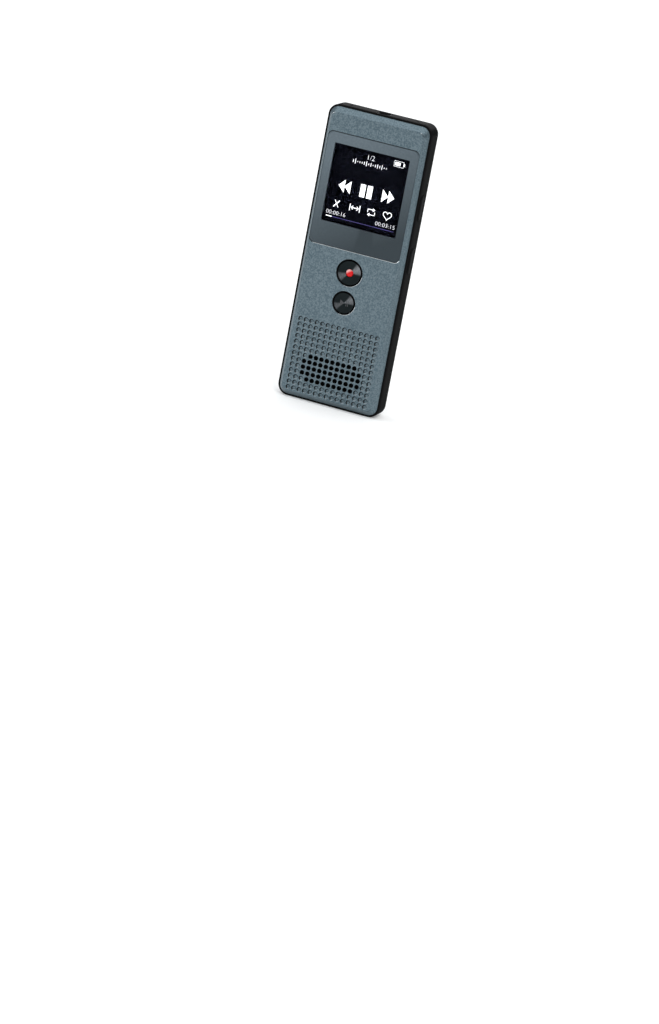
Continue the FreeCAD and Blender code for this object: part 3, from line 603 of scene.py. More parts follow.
# Red dome with a painted highlight towards its upper left.
JEWEL = JewelFinish(
    "jewel_red", (0.56, 0.006, 0.008), (0.66, 0.010, 0.012), roughness=0.25, spread=0.04, scale=1500.0,
    depth=0.0, specular=0.0, coat=0.3, coat_roughness=0.03, axis_x=Place.of("record_jewel").x,
    axis_height=Place.of("record_jewel").height,
)
SCREW = Finish(
    "screw_black", (0.022, 0.022, 0.024), (0.045, 0.045, 0.048), metallic=0.8, roughness=0.38, spread=0.15,
    scale=5000.0, depth=0.00001,
)
STEEL = Finish(
    "tray_steel", (0.42, 0.42, 0.43), (0.56, 0.56, 0.57), metallic=1.0, roughness=0.34, spread=0.15,
    scale=2500.0, depth=0.000004, stretch=(1.0, 1.0, 0.04),
)
CAN = Finish(
    "can_metal", (0.50, 0.49, 0.47), (0.62, 0.61, 0.58), metallic=1.0, roughness=0.28, spread=0.18,
    scale=3500.0, depth=0.000004, stretch=(1.0, 1.0, 0.08),
)
FILM = Finish(
    "flex_film", (0.36, 0.135, 0.018), (0.46, 0.19, 0.030), roughness=0.32, spread=0.1, scale=1800.0,
    stretch=(1.0, 1.0, 0.05), depth=0.000003,
)
TAPE = Finish(
    "tape_black", (0.012, 0.012, 0.012), (0.024, 0.024, 0.024), roughness=0.85, scale=5000.0, depth=0.00002,
)
GUIDE = Finish(
    "light_guide", (0.78, 0.79, 0.81), (0.86, 0.87, 0.89), roughness=0.30, scale=2200.0, depth=0.000004,
)
BOARD = CellFinish(
    "board_green", (0.006, 0.070, 0.028), (0.010, 0.095, 0.040), roughness=0.34, scale=1600.0,
    cell=1.6, line=(0.020, 0.150, 0.065), share=0.07, relief=0.00003, coat=0.3,
)
CHIP = Finish(
    "chip_black", (0.012, 0.012, 0.013), (0.026, 0.026, 0.027), roughness=0.62, scale=7000.0, depth=0.00001,
)
NYLON = Finish(
    "connector_white", (0.66, 0.64, 0.57), (0.74, 0.72, 0.65), roughness=0.45, scale=2600.0, depth=0.000006,
)
CERAMIC = Finish(
    "capacitor_brown", (0.26, 0.16, 0.09), (0.36, 0.24, 0.15), roughness=0.55, scale=6000.0, depth=0.000008,
)
POUCH = CellFinish(
    "cell_foil", (0.50, 0.51, 0.53), (0.64, 0.65, 0.67), metallic=0.9, roughness=0.38, scale=1200.0,
    cell=1.1, line=(0.54, 0.55, 0.57), share=0.05, relief=0.00002,
)
SPEAKER = Finish(
    "speaker_frame", (0.022, 0.022, 0.023), (0.036, 0.036, 0.037), roughness=0.60, scale=4500.0,
    depth=0.000014,
)
NICKEL = Finish(
    "magnet_nickel", (0.50, 0.49, 0.46), (0.60, 0.59, 0.56), metallic=1.0, roughness=0.16, spread=0.12,
    scale=2500.0, depth=0.000003,
)
CONE = Finish(
    "cone_film", (0.040, 0.040, 0.045), (0.060, 0.060, 0.066), roughness=0.30, scale=3000.0, depth=0.000006,
)
WEAVE = CellFinish(
    "mesh_steel", (0.0024, 0.0028, 0.0032), (0.0040, 0.0045, 0.0050), metallic=0.3, roughness=0.5,
    scale=6000.0, cell=0.22, line=(0.012, 0.014, 0.016), share=0.10, relief=0.00003, specular=0.1,
)
PORT = Finish(
    "port_black", (0.010, 0.010, 0.011), (0.018, 0.018, 0.019), roughness=0.30, scale=3600.0,
    depth=0.000004,
)
RUBBER = Finish(
    "boot_rubber", (0.018, 0.018, 0.018), (0.032, 0.032, 0.032), roughness=0.80, scale=4200.0,
    depth=0.00002,
)
MARK = Finish(
    "button_metal", (0.060, 0.062, 0.066), (0.085, 0.088, 0.094), name="etched_mark", metallic=0.8,
    roughness=0.45, scale=5000.0, depth=0.000004,
)
LIT = GlowFinish(
    "screen_glass", (0.90, 0.91, 0.93), (0.97, 0.98, 1.0), name="screen_lit", roughness=0.4, scale=9000.0,
    depth=0.0, glow=1.0,
)
SOFT = GlowFinish(
    "screen_glass", (0.66, 0.67, 0.70), (0.74, 0.75, 0.78), name="screen_soft", roughness=0.4, scale=9000.0,
    depth=0.0, glow=0.9,
)
DIM = GlowFinish(
    "screen_glass", (0.055, 0.045, 0.20), (0.075, 0.065, 0.26), name="screen_dim", roughness=0.4,
    scale=9000.0, depth=0.0, glow=0.5,
)
PAPER = GlowFinish(
    "", (0.895, 0.895, 0.895), (0.90, 0.90, 0.90), name="floor_paper", roughness=0.8, scale=400.0, depth=0.0,
    specular=0.1, glow=0.2,
)
DRESSED_NODES = (
    STEEL, CAN, FILM, TAPE, GUIDE, BOARD, CHIP, NYLON, CERAMIC, POUCH, SPEAKER, NICKEL, CONE, WEAVE, PORT,
    RUBBER, PANEL,
)


# Meshes


def at(x: float, depth: float, height: float) -> Vector:
    """The point for a place given from the middle, back from the front face, and up."""
    return Vector((x, FRONT / MM + depth, height))


class Shape:
    """A mesh in the making, measured in millimetres."""

    sharp_angle = math.radians(28)
    flat_angle = math.radians(0.5)
    near = 0.001
    copy_near = 0.002
    same_near = 0.0004

    def __init__(self) -> None:
        """Starts an empty mesh."""
        self.bm = bmesh.new()

    def outline(
        self, x: float, height: float, half_width: float, half_length: float, radius: float,
        depth: float, steps: int = 8,
    ) -> list[bmesh.types.BMEdge]:
        """Draws a rounded rectangle that faces forwards.

        Args:
            x: its middle, across.
            height: its middle, upwards.
            half_width: half its width.
            half_length: half its length.
            radius: its corners' radius.
            depth: how far back it lies.
            steps: edges to each corner.

        Returns:
            Its edges.
        """
        size = Matrix.Diagonal((half_width, half_length, 1.0, 1.0))
        stand = Matrix.Rotation(math.pi / 2, 4, "X")
        place = Matrix.Translation(at(x, depth, height)) @ stand @ size
        made = bmesh.ops.create_grid(self.bm, x_segments=1, y_segments=1, size=1.0, matrix=place)
        rounded = bmesh.ops.bevel(
            self.bm, geom=made["verts"], offset=radius, offset_type="OFFSET", segments=steps, profile=0.5,
            affect="VERTICES", material=-1,
        )
        face = rounded["verts"][0].link_faces[0]
        edges = list(face.edges)
        bmesh.ops.delete(self.bm, geom=[face], context="FACES_ONLY")
        return edges

    def bridge(self, *loops: list[bmesh.types.BMEdge]) -> None:
        """Joins loops of edges one to the next with bands of faces."""
        for first, second in zip(loops, loops[1:]):
            bmesh.ops.bridge_loops(self.bm, edges=first + second)

    def fill(self, depth: float) -> None:
        """Closes the open loops that lie at one depth with flat triangles, and leaves the holes open.

        Every hole is convex, so a triangle with all its corners on one hole's loop lies in that hole.

        Args:
            depth: where they lie.
        """
        level = FRONT / MM + depth
        edges = [
            edge for edge in self.bm.edges
            if len(edge.link_faces) < 2 and all(abs(vert.co.y - level) < self.near for vert in edge.verts)
        ]
        owners = self.owners(edges)
        verts = list(owners)
        outermost = owners[min(verts, key=lambda vert: vert.co.x)]
        order = {vert: index for index, vert in enumerate(verts)}
        points = [Vector((vert.co.x, vert.co.z)) for vert in verts]
        pairs = [tuple(order[vert] for vert in edge.verts) for edge in edges]
        filled = delaunay_2d_cdt(points, pairs, [], TRIANGLES_INSIDE, self.near / 10)
        for corners in filled[2]:
            triangle = [verts[filled[3][corner][0]] for corner in corners]
            loops = {owners[vert] for vert in triangle}
            if len(loops) > 1 or outermost in loops:
                self.bm.faces.new(triangle)

    def owners(self, edges: list[bmesh.types.BMEdge]) -> dict[bmesh.types.BMVert, int]:
        """Numbers the loops that some edges form.

        Args:
            edges: the loops' edges.

        Returns:
            The number of each vertex's loop.
        """
        neighbours: dict[bmesh.types.BMVert, list[bmesh.types.BMVert]] = {}
        for edge in edges:
            for vert in edge.verts:
                neighbours.setdefault(vert, []).append(edge.other_vert(vert))
        owners: dict[bmesh.types.BMVert, int] = {}
        for number, first in enumerate(neighbours):
            waiting = [first]
            while waiting:
                vert = waiting.pop()
                if vert not in owners:
                    owners[vert] = number
                    waiting += neighbours[vert]
        return owners

    def lathe(self, x: float, height: float, profile: list[Point], steps: int) -> None:
        """Turns a profile about a line that runs straight back from the front face.

        Args:
            x: the line's place, across.
            height: the line's place, upwards.
            profile: points of radius and depth.
            steps: faces round a full turn.
        """
        start, axis = at(x, 0.0, height), Vector((0, 1, 0))
        across = axis.orthogonal().normalized()
        verts = [self.bm.verts.new(start + across * radius + axis * along) for radius, along in profile]
        edges = [self.bm.edges.new(pair) for pair in zip(verts, verts[1:])]
        bmesh.ops.spin(
            self.bm, geom=verts + edges, cent=start, axis=axis, dvec=(0, 0, 0), angle=math.tau, steps=steps,
            use_merge=True, use_normal_flip=False, use_duplicate=False,
        )

    def slab(
        self, x: float, height: float, half_width: float, half_length: float, radius: float,
        depth: float, thickness: float, chamfer: float, steps: int = 2,
    ) -> None:
        """Adds a closed plate with rounded corners whose front and back edges are chamfered.

        Args:
            x: its middle, across.
            height: its middle, upwards.
            half_width: half its width.
            half_length: half its length.
            radius: its corners' radius.
            depth: where its front lies.
            thickness: front to back.
            chamfer: size of the chamfers.
            steps: edges to each corner.
        """
        back = depth + thickness
        rings = ((chamfer, depth), (0.0, depth + chamfer), (0.0, back - chamfer), (chamfer, back))
        loops = []
        for inset, level in rings:
            corner = max(radius - inset, radius / 4)
            edges = self.outline(x, height, half_width - inset, half_length - inset, corner, level, steps)
            loops.append(edges)
        self.bridge(*loops)
        bmesh.ops.contextual_create(self.bm, geom=loops[0])
        bmesh.ops.contextual_create(self.bm, geom=loops[-1])

    def triangle(
        self, x: float, height: float, reach: float, rise: float, depth: float, thickness: float
    ) -> None:
        """Adds a three-sided prism that points across.

        Args:
            x: the middle of its base-to-tip line.
            height: the tip's height.
            reach: from the base to the tip, below zero to point left.
            rise: the base's length.
            depth: where its front lies.
            thickness: front to back.
        """
        made = bmesh.ops.create_circle(self.bm, cap_ends=True, segments=3, radius=1.0)
        verts = made["verts"]
        tip = max(verts, key=lambda vert: vert.co.y)
        for vert in verts:
            side = 0.0 if vert is tip else math.copysign(rise / 2, vert.co.x)
            vert.co = at(x + (reach if vert is tip else -reach) / 2, depth, height + side)
        made = bmesh.ops.extrude_face_region(self.bm, geom=list(verts[0].link_faces))
        moved = [item for item in made["geom"] if isinstance(item, bmesh.types.BMVert)]
        bmesh.ops.translate(self.bm, vec=(0, thickness, 0), verts=moved)

    def add_mesh(self, mesh: bpy.types.Mesh, place: Matrix) -> None:
        """Adds a finished mesh, and frees it.

        Args:
            mesh: what is added.
            place: where it goes.
        """
        mesh.transform(place)
        self.bm.from_mesh(mesh)
        bpy.data.meshes.remove(mesh)

    def copy_node(self, node: str) -> None:
        """Starts from a merged copy of a CAD node's mesh, with its flat regions made whole.

        Args:
            node: the CAD node's name.
        """
        self.bm.from_mesh(frame["nodes"][node].data)
        bmesh.ops.scale(self.bm, vec=Vector((1 / MM, 1 / MM, 1 / MM)), verts=self.bm.verts)
        bmesh.ops.remove_doubles(self.bm, verts=self.bm.verts, dist=self.copy_near)
        bmesh.ops.dissolve_limit(
            self.bm, angle_limit=self.flat_angle, use_dissolve_boundaries=False, verts=self.bm.verts,
            edges=self.bm.edges, delimit=set(),
        )

    def round_edges(self, radius: float, angle: float = 40.0, segments: int = 2) -> None:
        """Rounds the convex edges that are sharper than an angle.

        Args:
            radius: how much, in millimetres.
            angle: in degrees.
            segments: faces across a rounded edge.
        """
        limit = math.radians(angle)
        whole = [edge for edge in self.bm.edges if edge.is_manifold]
        edges = [edge for edge in whole if edge.calc_face_angle_signed() > limit]
        bmesh.ops.bevel(
            self.bm, geom=edges, offset=radius, offset_type="OFFSET", segments=segments, profile=0.5,
            affect="EDGES", clamp_overlap=True, material=-1,
        )

    def piece(
        self, name: str, finish: Finish, body: Body, replaces: tuple[str, ...] = (),
        weighted: bool = False,
    ) -> bpy.types.Object:
        """Turns the mesh into a finished piece that rides on a body.

        Args:
            name: the piece's name.
            finish: its surface.
            body: what it moves with.
            replaces: CAD nodes that it stands for.
            weighted: keeps large flat faces flat in the shading of rounded edges.

        Returns:
            The new object.
        """
        bmesh.ops.remove_doubles(self.bm, verts=self.bm.verts, dist=self.same_near)
        bmesh.ops.recalc_face_normals(self.bm, faces=self.bm.faces)
        bmesh.ops.scale(self.bm, vec=Vector((MM, MM, MM)), verts=self.bm.verts)
        loose = sum(1 for edge in self.bm.edges if not edge.is_manifold)
        if loose:
            LOG.warning("%s: %d edges are not closed", name, loose)
        for face in self.bm.faces:
            face.smooth = True
        for edge in self.bm.edges:
            edge.smooth = edge.calc_face_angle(math.pi) < self.sharp_angle
        mesh = bpy.data.meshes.new(name)
        self.bm.to_mesh(mesh)
        self.bm.free()
        piece = bpy.data.objects.new(name, mesh)
        bpy.context.scene.collection.objects.link(piece)
        mesh.materials.append(finish.material())
        if weighted:
            shading = piece.modifiers.new("flat_faces", "WEIGHTED_NORMAL")
            shading.keep_sharp = True
        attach(piece, body.value)
        if replaces:
            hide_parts(*replaces)
        LOG.info("%s: %d faces on %s", name, len(mesh.polygons), body.value)
        return piece


@dataclass
class FrontPlate:
    """Bevelled plate with the screen's recess, two button holes and the grille."""

    bevel_side: float = 1.22
    bevel_end: float = 1.5
    bevel_depth: float = 2.0
    edge_depth: float = 2.2
    wall: float = 1.4
    corner: float = 2.7
    face_corner: float = 1.48
    edge_round: float = 0.07
    side_round: float = 0.02
    edge_middle: float = 0.35
    tongue: float = 0.8
    tongue_step: float = 0.9
    tongue_end: float = 2.6
    ledge_depth: float = 0.9
    lens_gap: float = 0.06
    lens_corner: float = 1.6
    lens_lip: float = 0.18
    lens_side_lip: float = 0.03
    window_half_width: float = 13.3
    window_half_length: float = 14.85
    window_height: float = 64.45
    window_corner: float = 0.5
    button_gap: float = 0.25
    button_lip: float = 0.13
    pitch: float = 1.75
    columns: int = 15
    rows: int = 13
    open_row: int = 8
    open_columns: int = 11
    open_height: float = 10.17
    hole_radius: float = 0.70
    pit_radius: float = 0.68
    pit_floor: float = 0.42
    pit_depth: float = 0.35
    rim_round: float = 0.05
    rim_steps: int = 16
    hole_steps: int = 64
    light_turn: float = math.radians(125)
    margin: float = 0.1
    pit_dip: float = 0.02
    steep: float = 0.75
    level: float = 0.97
    pit_light: float = 0.38
    lip_light: float = 0.25
    boss_radius: float = 1.4
    boss_bore: float = 0.65
    boss_root: float = 0.05
    boss_steps: int = 32
    screw_head: float = 1.1

    def build(self) -> None:
        """Builds the plate from its outlines, rims and bosses."""
        shape = Shape()
        plate = Place.of("front_plate")
        self.outside(shape, plate)
        self.lens_recess(shape)
        for node in ("record_button", "play_button"):
            self.button_hole(shape, node)
        self.grille(shape)
        for depth in (0.0, self.ledge_depth, self.wall, self.edge_depth, self.tongue_end):
            shape.fill(depth)
        self.bosses(shape)
        panel = shape.piece("front_panel", ANODISED, Body.CASE, ("front_plate",), weighted=True)
        self.paint_wall_light(panel)

    def outside(self, shape: Shape, plate: Place) -> None:
        """Bridges the outlines from the face, over the bevel and the edge, to the inside of the wall.

        Args:
            shape: the mesh.
            plate: the plate's place.
        """
        turn, fine, middle = self.edge_round, self.side_round, self.edge_middle
        slope_side = self.bevel_side / self.bevel_depth
        slope_end = self.bevel_end / self.bevel_depth
        inner = self.corner - self.tongue_step
        rings = [
            (self.bevel_side + fine, self.bevel_end + turn, self.face_corner, 0.0),
            (
                self.bevel_side + fine * middle, self.bevel_end + turn * middle, self.face_corner + 0.03,
                turn * LIP_MIDDLE,
            ),
            (
                self.bevel_side - turn * slope_side, self.bevel_end - turn * slope_end,
                self.face_corner + 0.08, turn,
            ),
            (turn * slope_side, turn * slope_end, self.corner - 0.05, self.bevel_depth - turn),
            (0.0, 0.0, self.corner, self.bevel_depth + turn),
            (0.0, 0.0, self.corner, self.edge_depth),
        ]
        near = self.tongue_step
        outside = [(near, near, inner, depth) for depth in (self.edge_depth, self.tongue_end)]
        step = self.tongue_step + self.tongue
        inside = [(step, step, inner - self.tongue, depth) for depth in (self.tongue_end, self.wall)]
        for band in (rings, outside, inside):
            loops = []
            for side, end, radius, depth in band:
                width, length = plate.half_width - side, plate.half_length - end
                loops.append(shape.outline(plate.x, plate.height, width, length, radius, depth))
            shape.bridge(*loops)

    def lens_recess(self, shape: Shape) -> None:
        """Sinks the recess that the lens sits in, and opens the window in its floor."""
        lens = Place.of("window_lens")
        half_width = lens.half_width + self.lens_gap
        half_length = lens.half_length + self.lens_gap
        lip = self.lens_lip
        recess = []
        for share, depth in ((1.0, 0.0), (LIP_MIDDLE, lip * LIP_MIDDLE), (0.0, lip), (0.0, self.ledge_depth)):
            width, length = half_width + self.lens_side_lip * share, half_length + lip * share
            recess.append(shape.outline(lens.x, lens.height, width, length, self.lens_corner, depth))
        shape.bridge(*recess)
        width, length, corner = self.window_half_width, self.window_half_length, self.window_corner
        window = [
            shape.outline(0.0, self.window_height, width, length, corner, depth)
            for depth in (self.ledge_depth, self.wall)
        ]
        shape.bridge(*window)

    def button_hole(self, shape: Shape, node: str) -> None:
        """Drills the hole round a button.

        Args:
            shape: the mesh.
            node: the button's CAD node.
        """
        button = Place.of(node)
        radius = Buttons.face_radius(node) + self.button_gap
        lip = self.button_lip
        middle = (radius + lip * LIP_MIDDLE, lip * LIP_MIDDLE)
        profile = [(radius + lip, 0.0), middle, (radius, lip), (radius, self.wall)]
        shape.lathe(button.x, button.height, profile, self.hole_steps)

    def grille(self, shape: Shape) -> None:
        """Sinks the pits, and drills those over the loudspeaker right through."""
        turn = self.rim_round
        pit = [
            (self.pit_radius + turn, 0.0), (self.pit_radius, turn), (self.pit_floor, self.pit_depth),
            (0.0, self.pit_depth + self.pit_dip),
        ]
        hole = [(self.hole_radius + turn, 0.0), (self.hole_radius, turn), (self.hole_radius, self.wall)]
        for row in range(self.rows):
            for column in range(self.columns):
                x = (column - self.columns // 2) * self.pitch
                height = self.open_height + (self.open_row - row) * self.pitch
                profile = hole if self.is_open(row, column) else pit
                shape.lathe(x, height, profile, self.rim_steps)

    def is_open(self, row: int, column: int) -> bool:
        """Whether a pit is drilled through: an oblong block whose end rows are one shorter each side.

        Args:
            row: counted from the top.
            column: counted from the left.

        Returns:
            True for a hole.
        """
        away = abs(row - self.open_row)
        reach = self.open_columns // 2 - (1 if away == 2 else 0)
        return away <= 2 and abs(column - self.columns // 2) <= reach

    def paint_wall_light(self, panel: bpy.types.Object) -> None:
        """Paints light and shade on the walls and lips of openings: painted shade, near-black painted shade
        far inside, painted light, or a painted highlight.

        Args:
            panel: the finished plate.
        """
        for finish in (SHADED_WALLS, PAINTED_HOLE_SHADE, LIT_WALLS, PAINTED_LIP_HIGHLIGHT):
            panel.data.materials.append(finish.material())
        plate = Place.of("front_plate")
        for face in panel.data.polygons:
            depth = (face.center.y - FRONT) / MM
            if 0.0 < depth < self.wall and self.is_inside(face, plate):
                # Painted light and shade, chosen by depth and by which way the face turns to the light.
                face.material_index = self.wall_light_or_shade(face, depth)

    def wall_light_or_shade(self, face: bpy.types.MeshPolygon, depth: float) -> Wall:
        """Chooses the finish of a face of an opening: the plate's own, or painted light or shade by its depth
        and by which way it faces the light.

        Args:
            face: the face.
            depth: how far back it lies.

        Returns:
            The finish.
        """
        flatness = abs(face.normal.y)
        light = face.normal.x * math.cos(self.light_turn) + face.normal.z * math.sin(self.light_turn)
        # Steep walls far inside: painted shade.
        if depth > self.pit_depth + self.pit_dip:
            return Wall.DEEP_SHADE if flatness < self.steep else Wall.FACE
        # Pit walls: painted shade where they face away from the light, painted light where they face it.
        if self.in_pit(face):
            if flatness >= self.steep:
                return Wall.FACE
            return Wall.SHADED if light < self.pit_light else Wall.LIT
        if flatness > self.level:
            return Wall.FACE
        # Sloping lips: painted highlight where they face the light, painted shade where they face away.
        return Wall.LIP_HIGHLIGHT if light > self.lip_light else Wall.SHADED

    def in_pit(self, face: bpy.types.MeshPolygon) -> bool:
        """Whether a face belongs to the grille.

        Args:
            face: a face of the plate.

        Returns:
            True if it is part of a pit or a hole.
        """
        across = face.center.x / MM / self.pitch
        rise = (face.center.z / MM - self.open_height) / self.pitch
        aside = math.hypot(across - round(across), rise - round(rise)) * self.pitch
        in_rows = 0 <= self.open_row - round(rise) < self.rows
        return in_rows and abs(across) < self.columns / 2 and aside < self.hole_radius + self.rim_round

    def is_inside(self, face: bpy.types.MeshPolygon, plate: Place) -> bool:
        """Whether a face lies in from the plate's bevels.

        Args:
            face: a face of the plate.
            plate: the plate's place.

        Returns:
            True if it does.
        """
        across = plate.half_width - abs(face.center.x / MM - plate.x)
        upward = plate.half_length - abs(face.center.z / MM - plate.height)
        return across > self.bevel_side + self.margin and upward > self.bevel_end + self.margin

    def bosses(self, shape: Shape) -> None:
        """Adds the four tubes behind the plate that the circuit board is screwed to.

        Args:
            shape: the mesh.
        """
        screws = Place.of("board_screws")
        reach, root = Place.of("main_board").front, self.wall - self.boss_root
        outer, bore, head = self.boss_radius, self.boss_bore, self.screw_head
        tube = [(outer, root), (outer, reach), (bore, reach), (bore, root), (outer, root)]
        for x in (screws.left + head, screws.right - head):
            for height in (screws.low + head, screws.high - head):
                shape.lathe(x, height, tube, self.boss_steps)


@dataclass
class Buttons:
    """The record button with its red jewel, and the play button with its mark."""

    rim: float = 0.22
    dish: float = 0.10
    dish_edge: float = 0.06
    dish_width: float = 0.16
    dish_steps: int = 5
    shoulder: tuple[Point, ...] = ((0.0, 0.18), (0.05, 0.07), (0.16, 0.01))
    flange_depth: float = 1.5
    stem: float = 1.2
    stem_length: float = 0.5
    seat: float = 1.22
    seat_depth: float = 0.40
    steps: int = 96
    dome_rise: float = 0.34
    dome_steps: int = 8
    jewel_steps: int = 48
    mark_depth: float = 0.025
    mark_thickness: float = 0.06
    flange: ClassVar[float] = 0.7

    @classmethod
    def face_radius(cls, node: str) -> float:
        """The radius of a button's face, which is smaller than the flange that sets its node's box."""
        return Place.of(node).half_width - cls.flange

    def finish(self, node: str, name: str, strength: float) -> SpunAndHighlightFinish:
        """Centres the spun finish and its painted highlight fans on a button's axis.

        Args:
            node: the button's CAD node.
            name: the button's name.
            strength: how strong the painted highlight fans are.

        Returns:
            The finish.
        """
        button = Place.of(node)
        return SpunAndHighlightFinish(
            "button_metal", (0.165, 0.17, 0.18), (0.24, 0.25, 0.265), name=f"{name}_metal", metallic=1.0,
            roughness=0.30, spread=0.05, scale=3500.0, depth=0.000004, axis_x=button.x,
            axis_height=button.height, face_radius=self.face_radius(node), strength=strength,
        )

    def button(self, node: str, name: str, body: Body, seat: float, strength: float) -> bpy.types.Object:
        """Turns one button.

        Args:
            node: the CAD node that it stands for.
            name: the piece's name.
            body: what it moves with.
            seat: radius of the seat sunk in its middle, or 0.
            strength: how strong the painted highlight fans of its finish are.

        Returns:
            The button.
        """
        place = Place.of(node)
        radius, flange, stem_top = self.face_radius(node), place.half_width, place.back - self.stem_length
        profile = [
            (0.0, place.back), (self.stem, place.back), (self.stem, stem_top), (flange, stem_top),
            (flange, self.flange_depth), (radius, self.flange_depth),
        ]
        profile += [(radius - inset, depth) for inset, depth in self.shoulder]
        outer = radius - self.rim - self.dish_width
        profile += [(radius - self.rim, 0.0), (radius - self.rim - 0.10, 0.02), (outer, self.dish_edge)]
        fall = self.dish - self.dish_edge
        for index in range(1, self.dish_steps + 1):
            share = index / self.dish_steps
            depth = self.dish_edge + fall * math.sin(share * math.pi / 2)
            profile.append((outer + (seat - outer) * share, depth))
        if seat:
            foot = self.seat_depth
            profile += [(seat - 0.03, self.dish + 0.08), (seat - 0.05, foot), (0.0, foot)]
        shape = Shape()
        shape.lathe(place.x, place.height, profile, self.steps)
        return shape.piece(name, self.finish(node, name, strength), body, (node,))

    def jewel(self) -> None:
        """Turns the polished red dome in the record button."""
        place = Place.of("record_jewel")
        radius, brow = place.half_width, place.front + self.dome_rise
        profile = [(0.0, place.back), (radius, place.back), (radius, brow)]
        for index in range(1, self.dome_steps + 1):
            share = index / self.dome_steps * math.pi / 2
            height = self.dome_rise * math.sin(share)
            profile.append((radius * math.cos(share), brow - height))
        shape = Shape()
        shape.lathe(place.x, place.height, profile, self.jewel_steps)
        shape.piece("record_dome", JEWEL, Body.RECORD, ("record_jewel",))

    def play_mark(self) -> None:
        """Adds the faint triangle and two bars that are etched in the play button."""
        place = Place.of("play_button")
        shape = Shape()
        level, thickness = self.dish - self.mark_depth, self.mark_thickness
        shape.triangle(place.x - 0.45, place.height, 1.5, 1.7, level, thickness)
        for x in (0.75, 1.25):
            shape.slab(place.x + x, place.height, 0.11, 0.8, 0.04, level, thickness, 0.01)
        shape.piece("play_mark", MARK, Body.PLAY)

    def build(self) -> None:
        """Builds both buttons."""
        # The last number sets how strong each button's painted highlight fans are.
        self.button("record_button", "record_cap", Body.RECORD, self.seat, 1.0)
        self.jewel()
        self.button("play_button", "play_cap", Body.PLAY, 0.0, 0.75)
        self.play_mark()


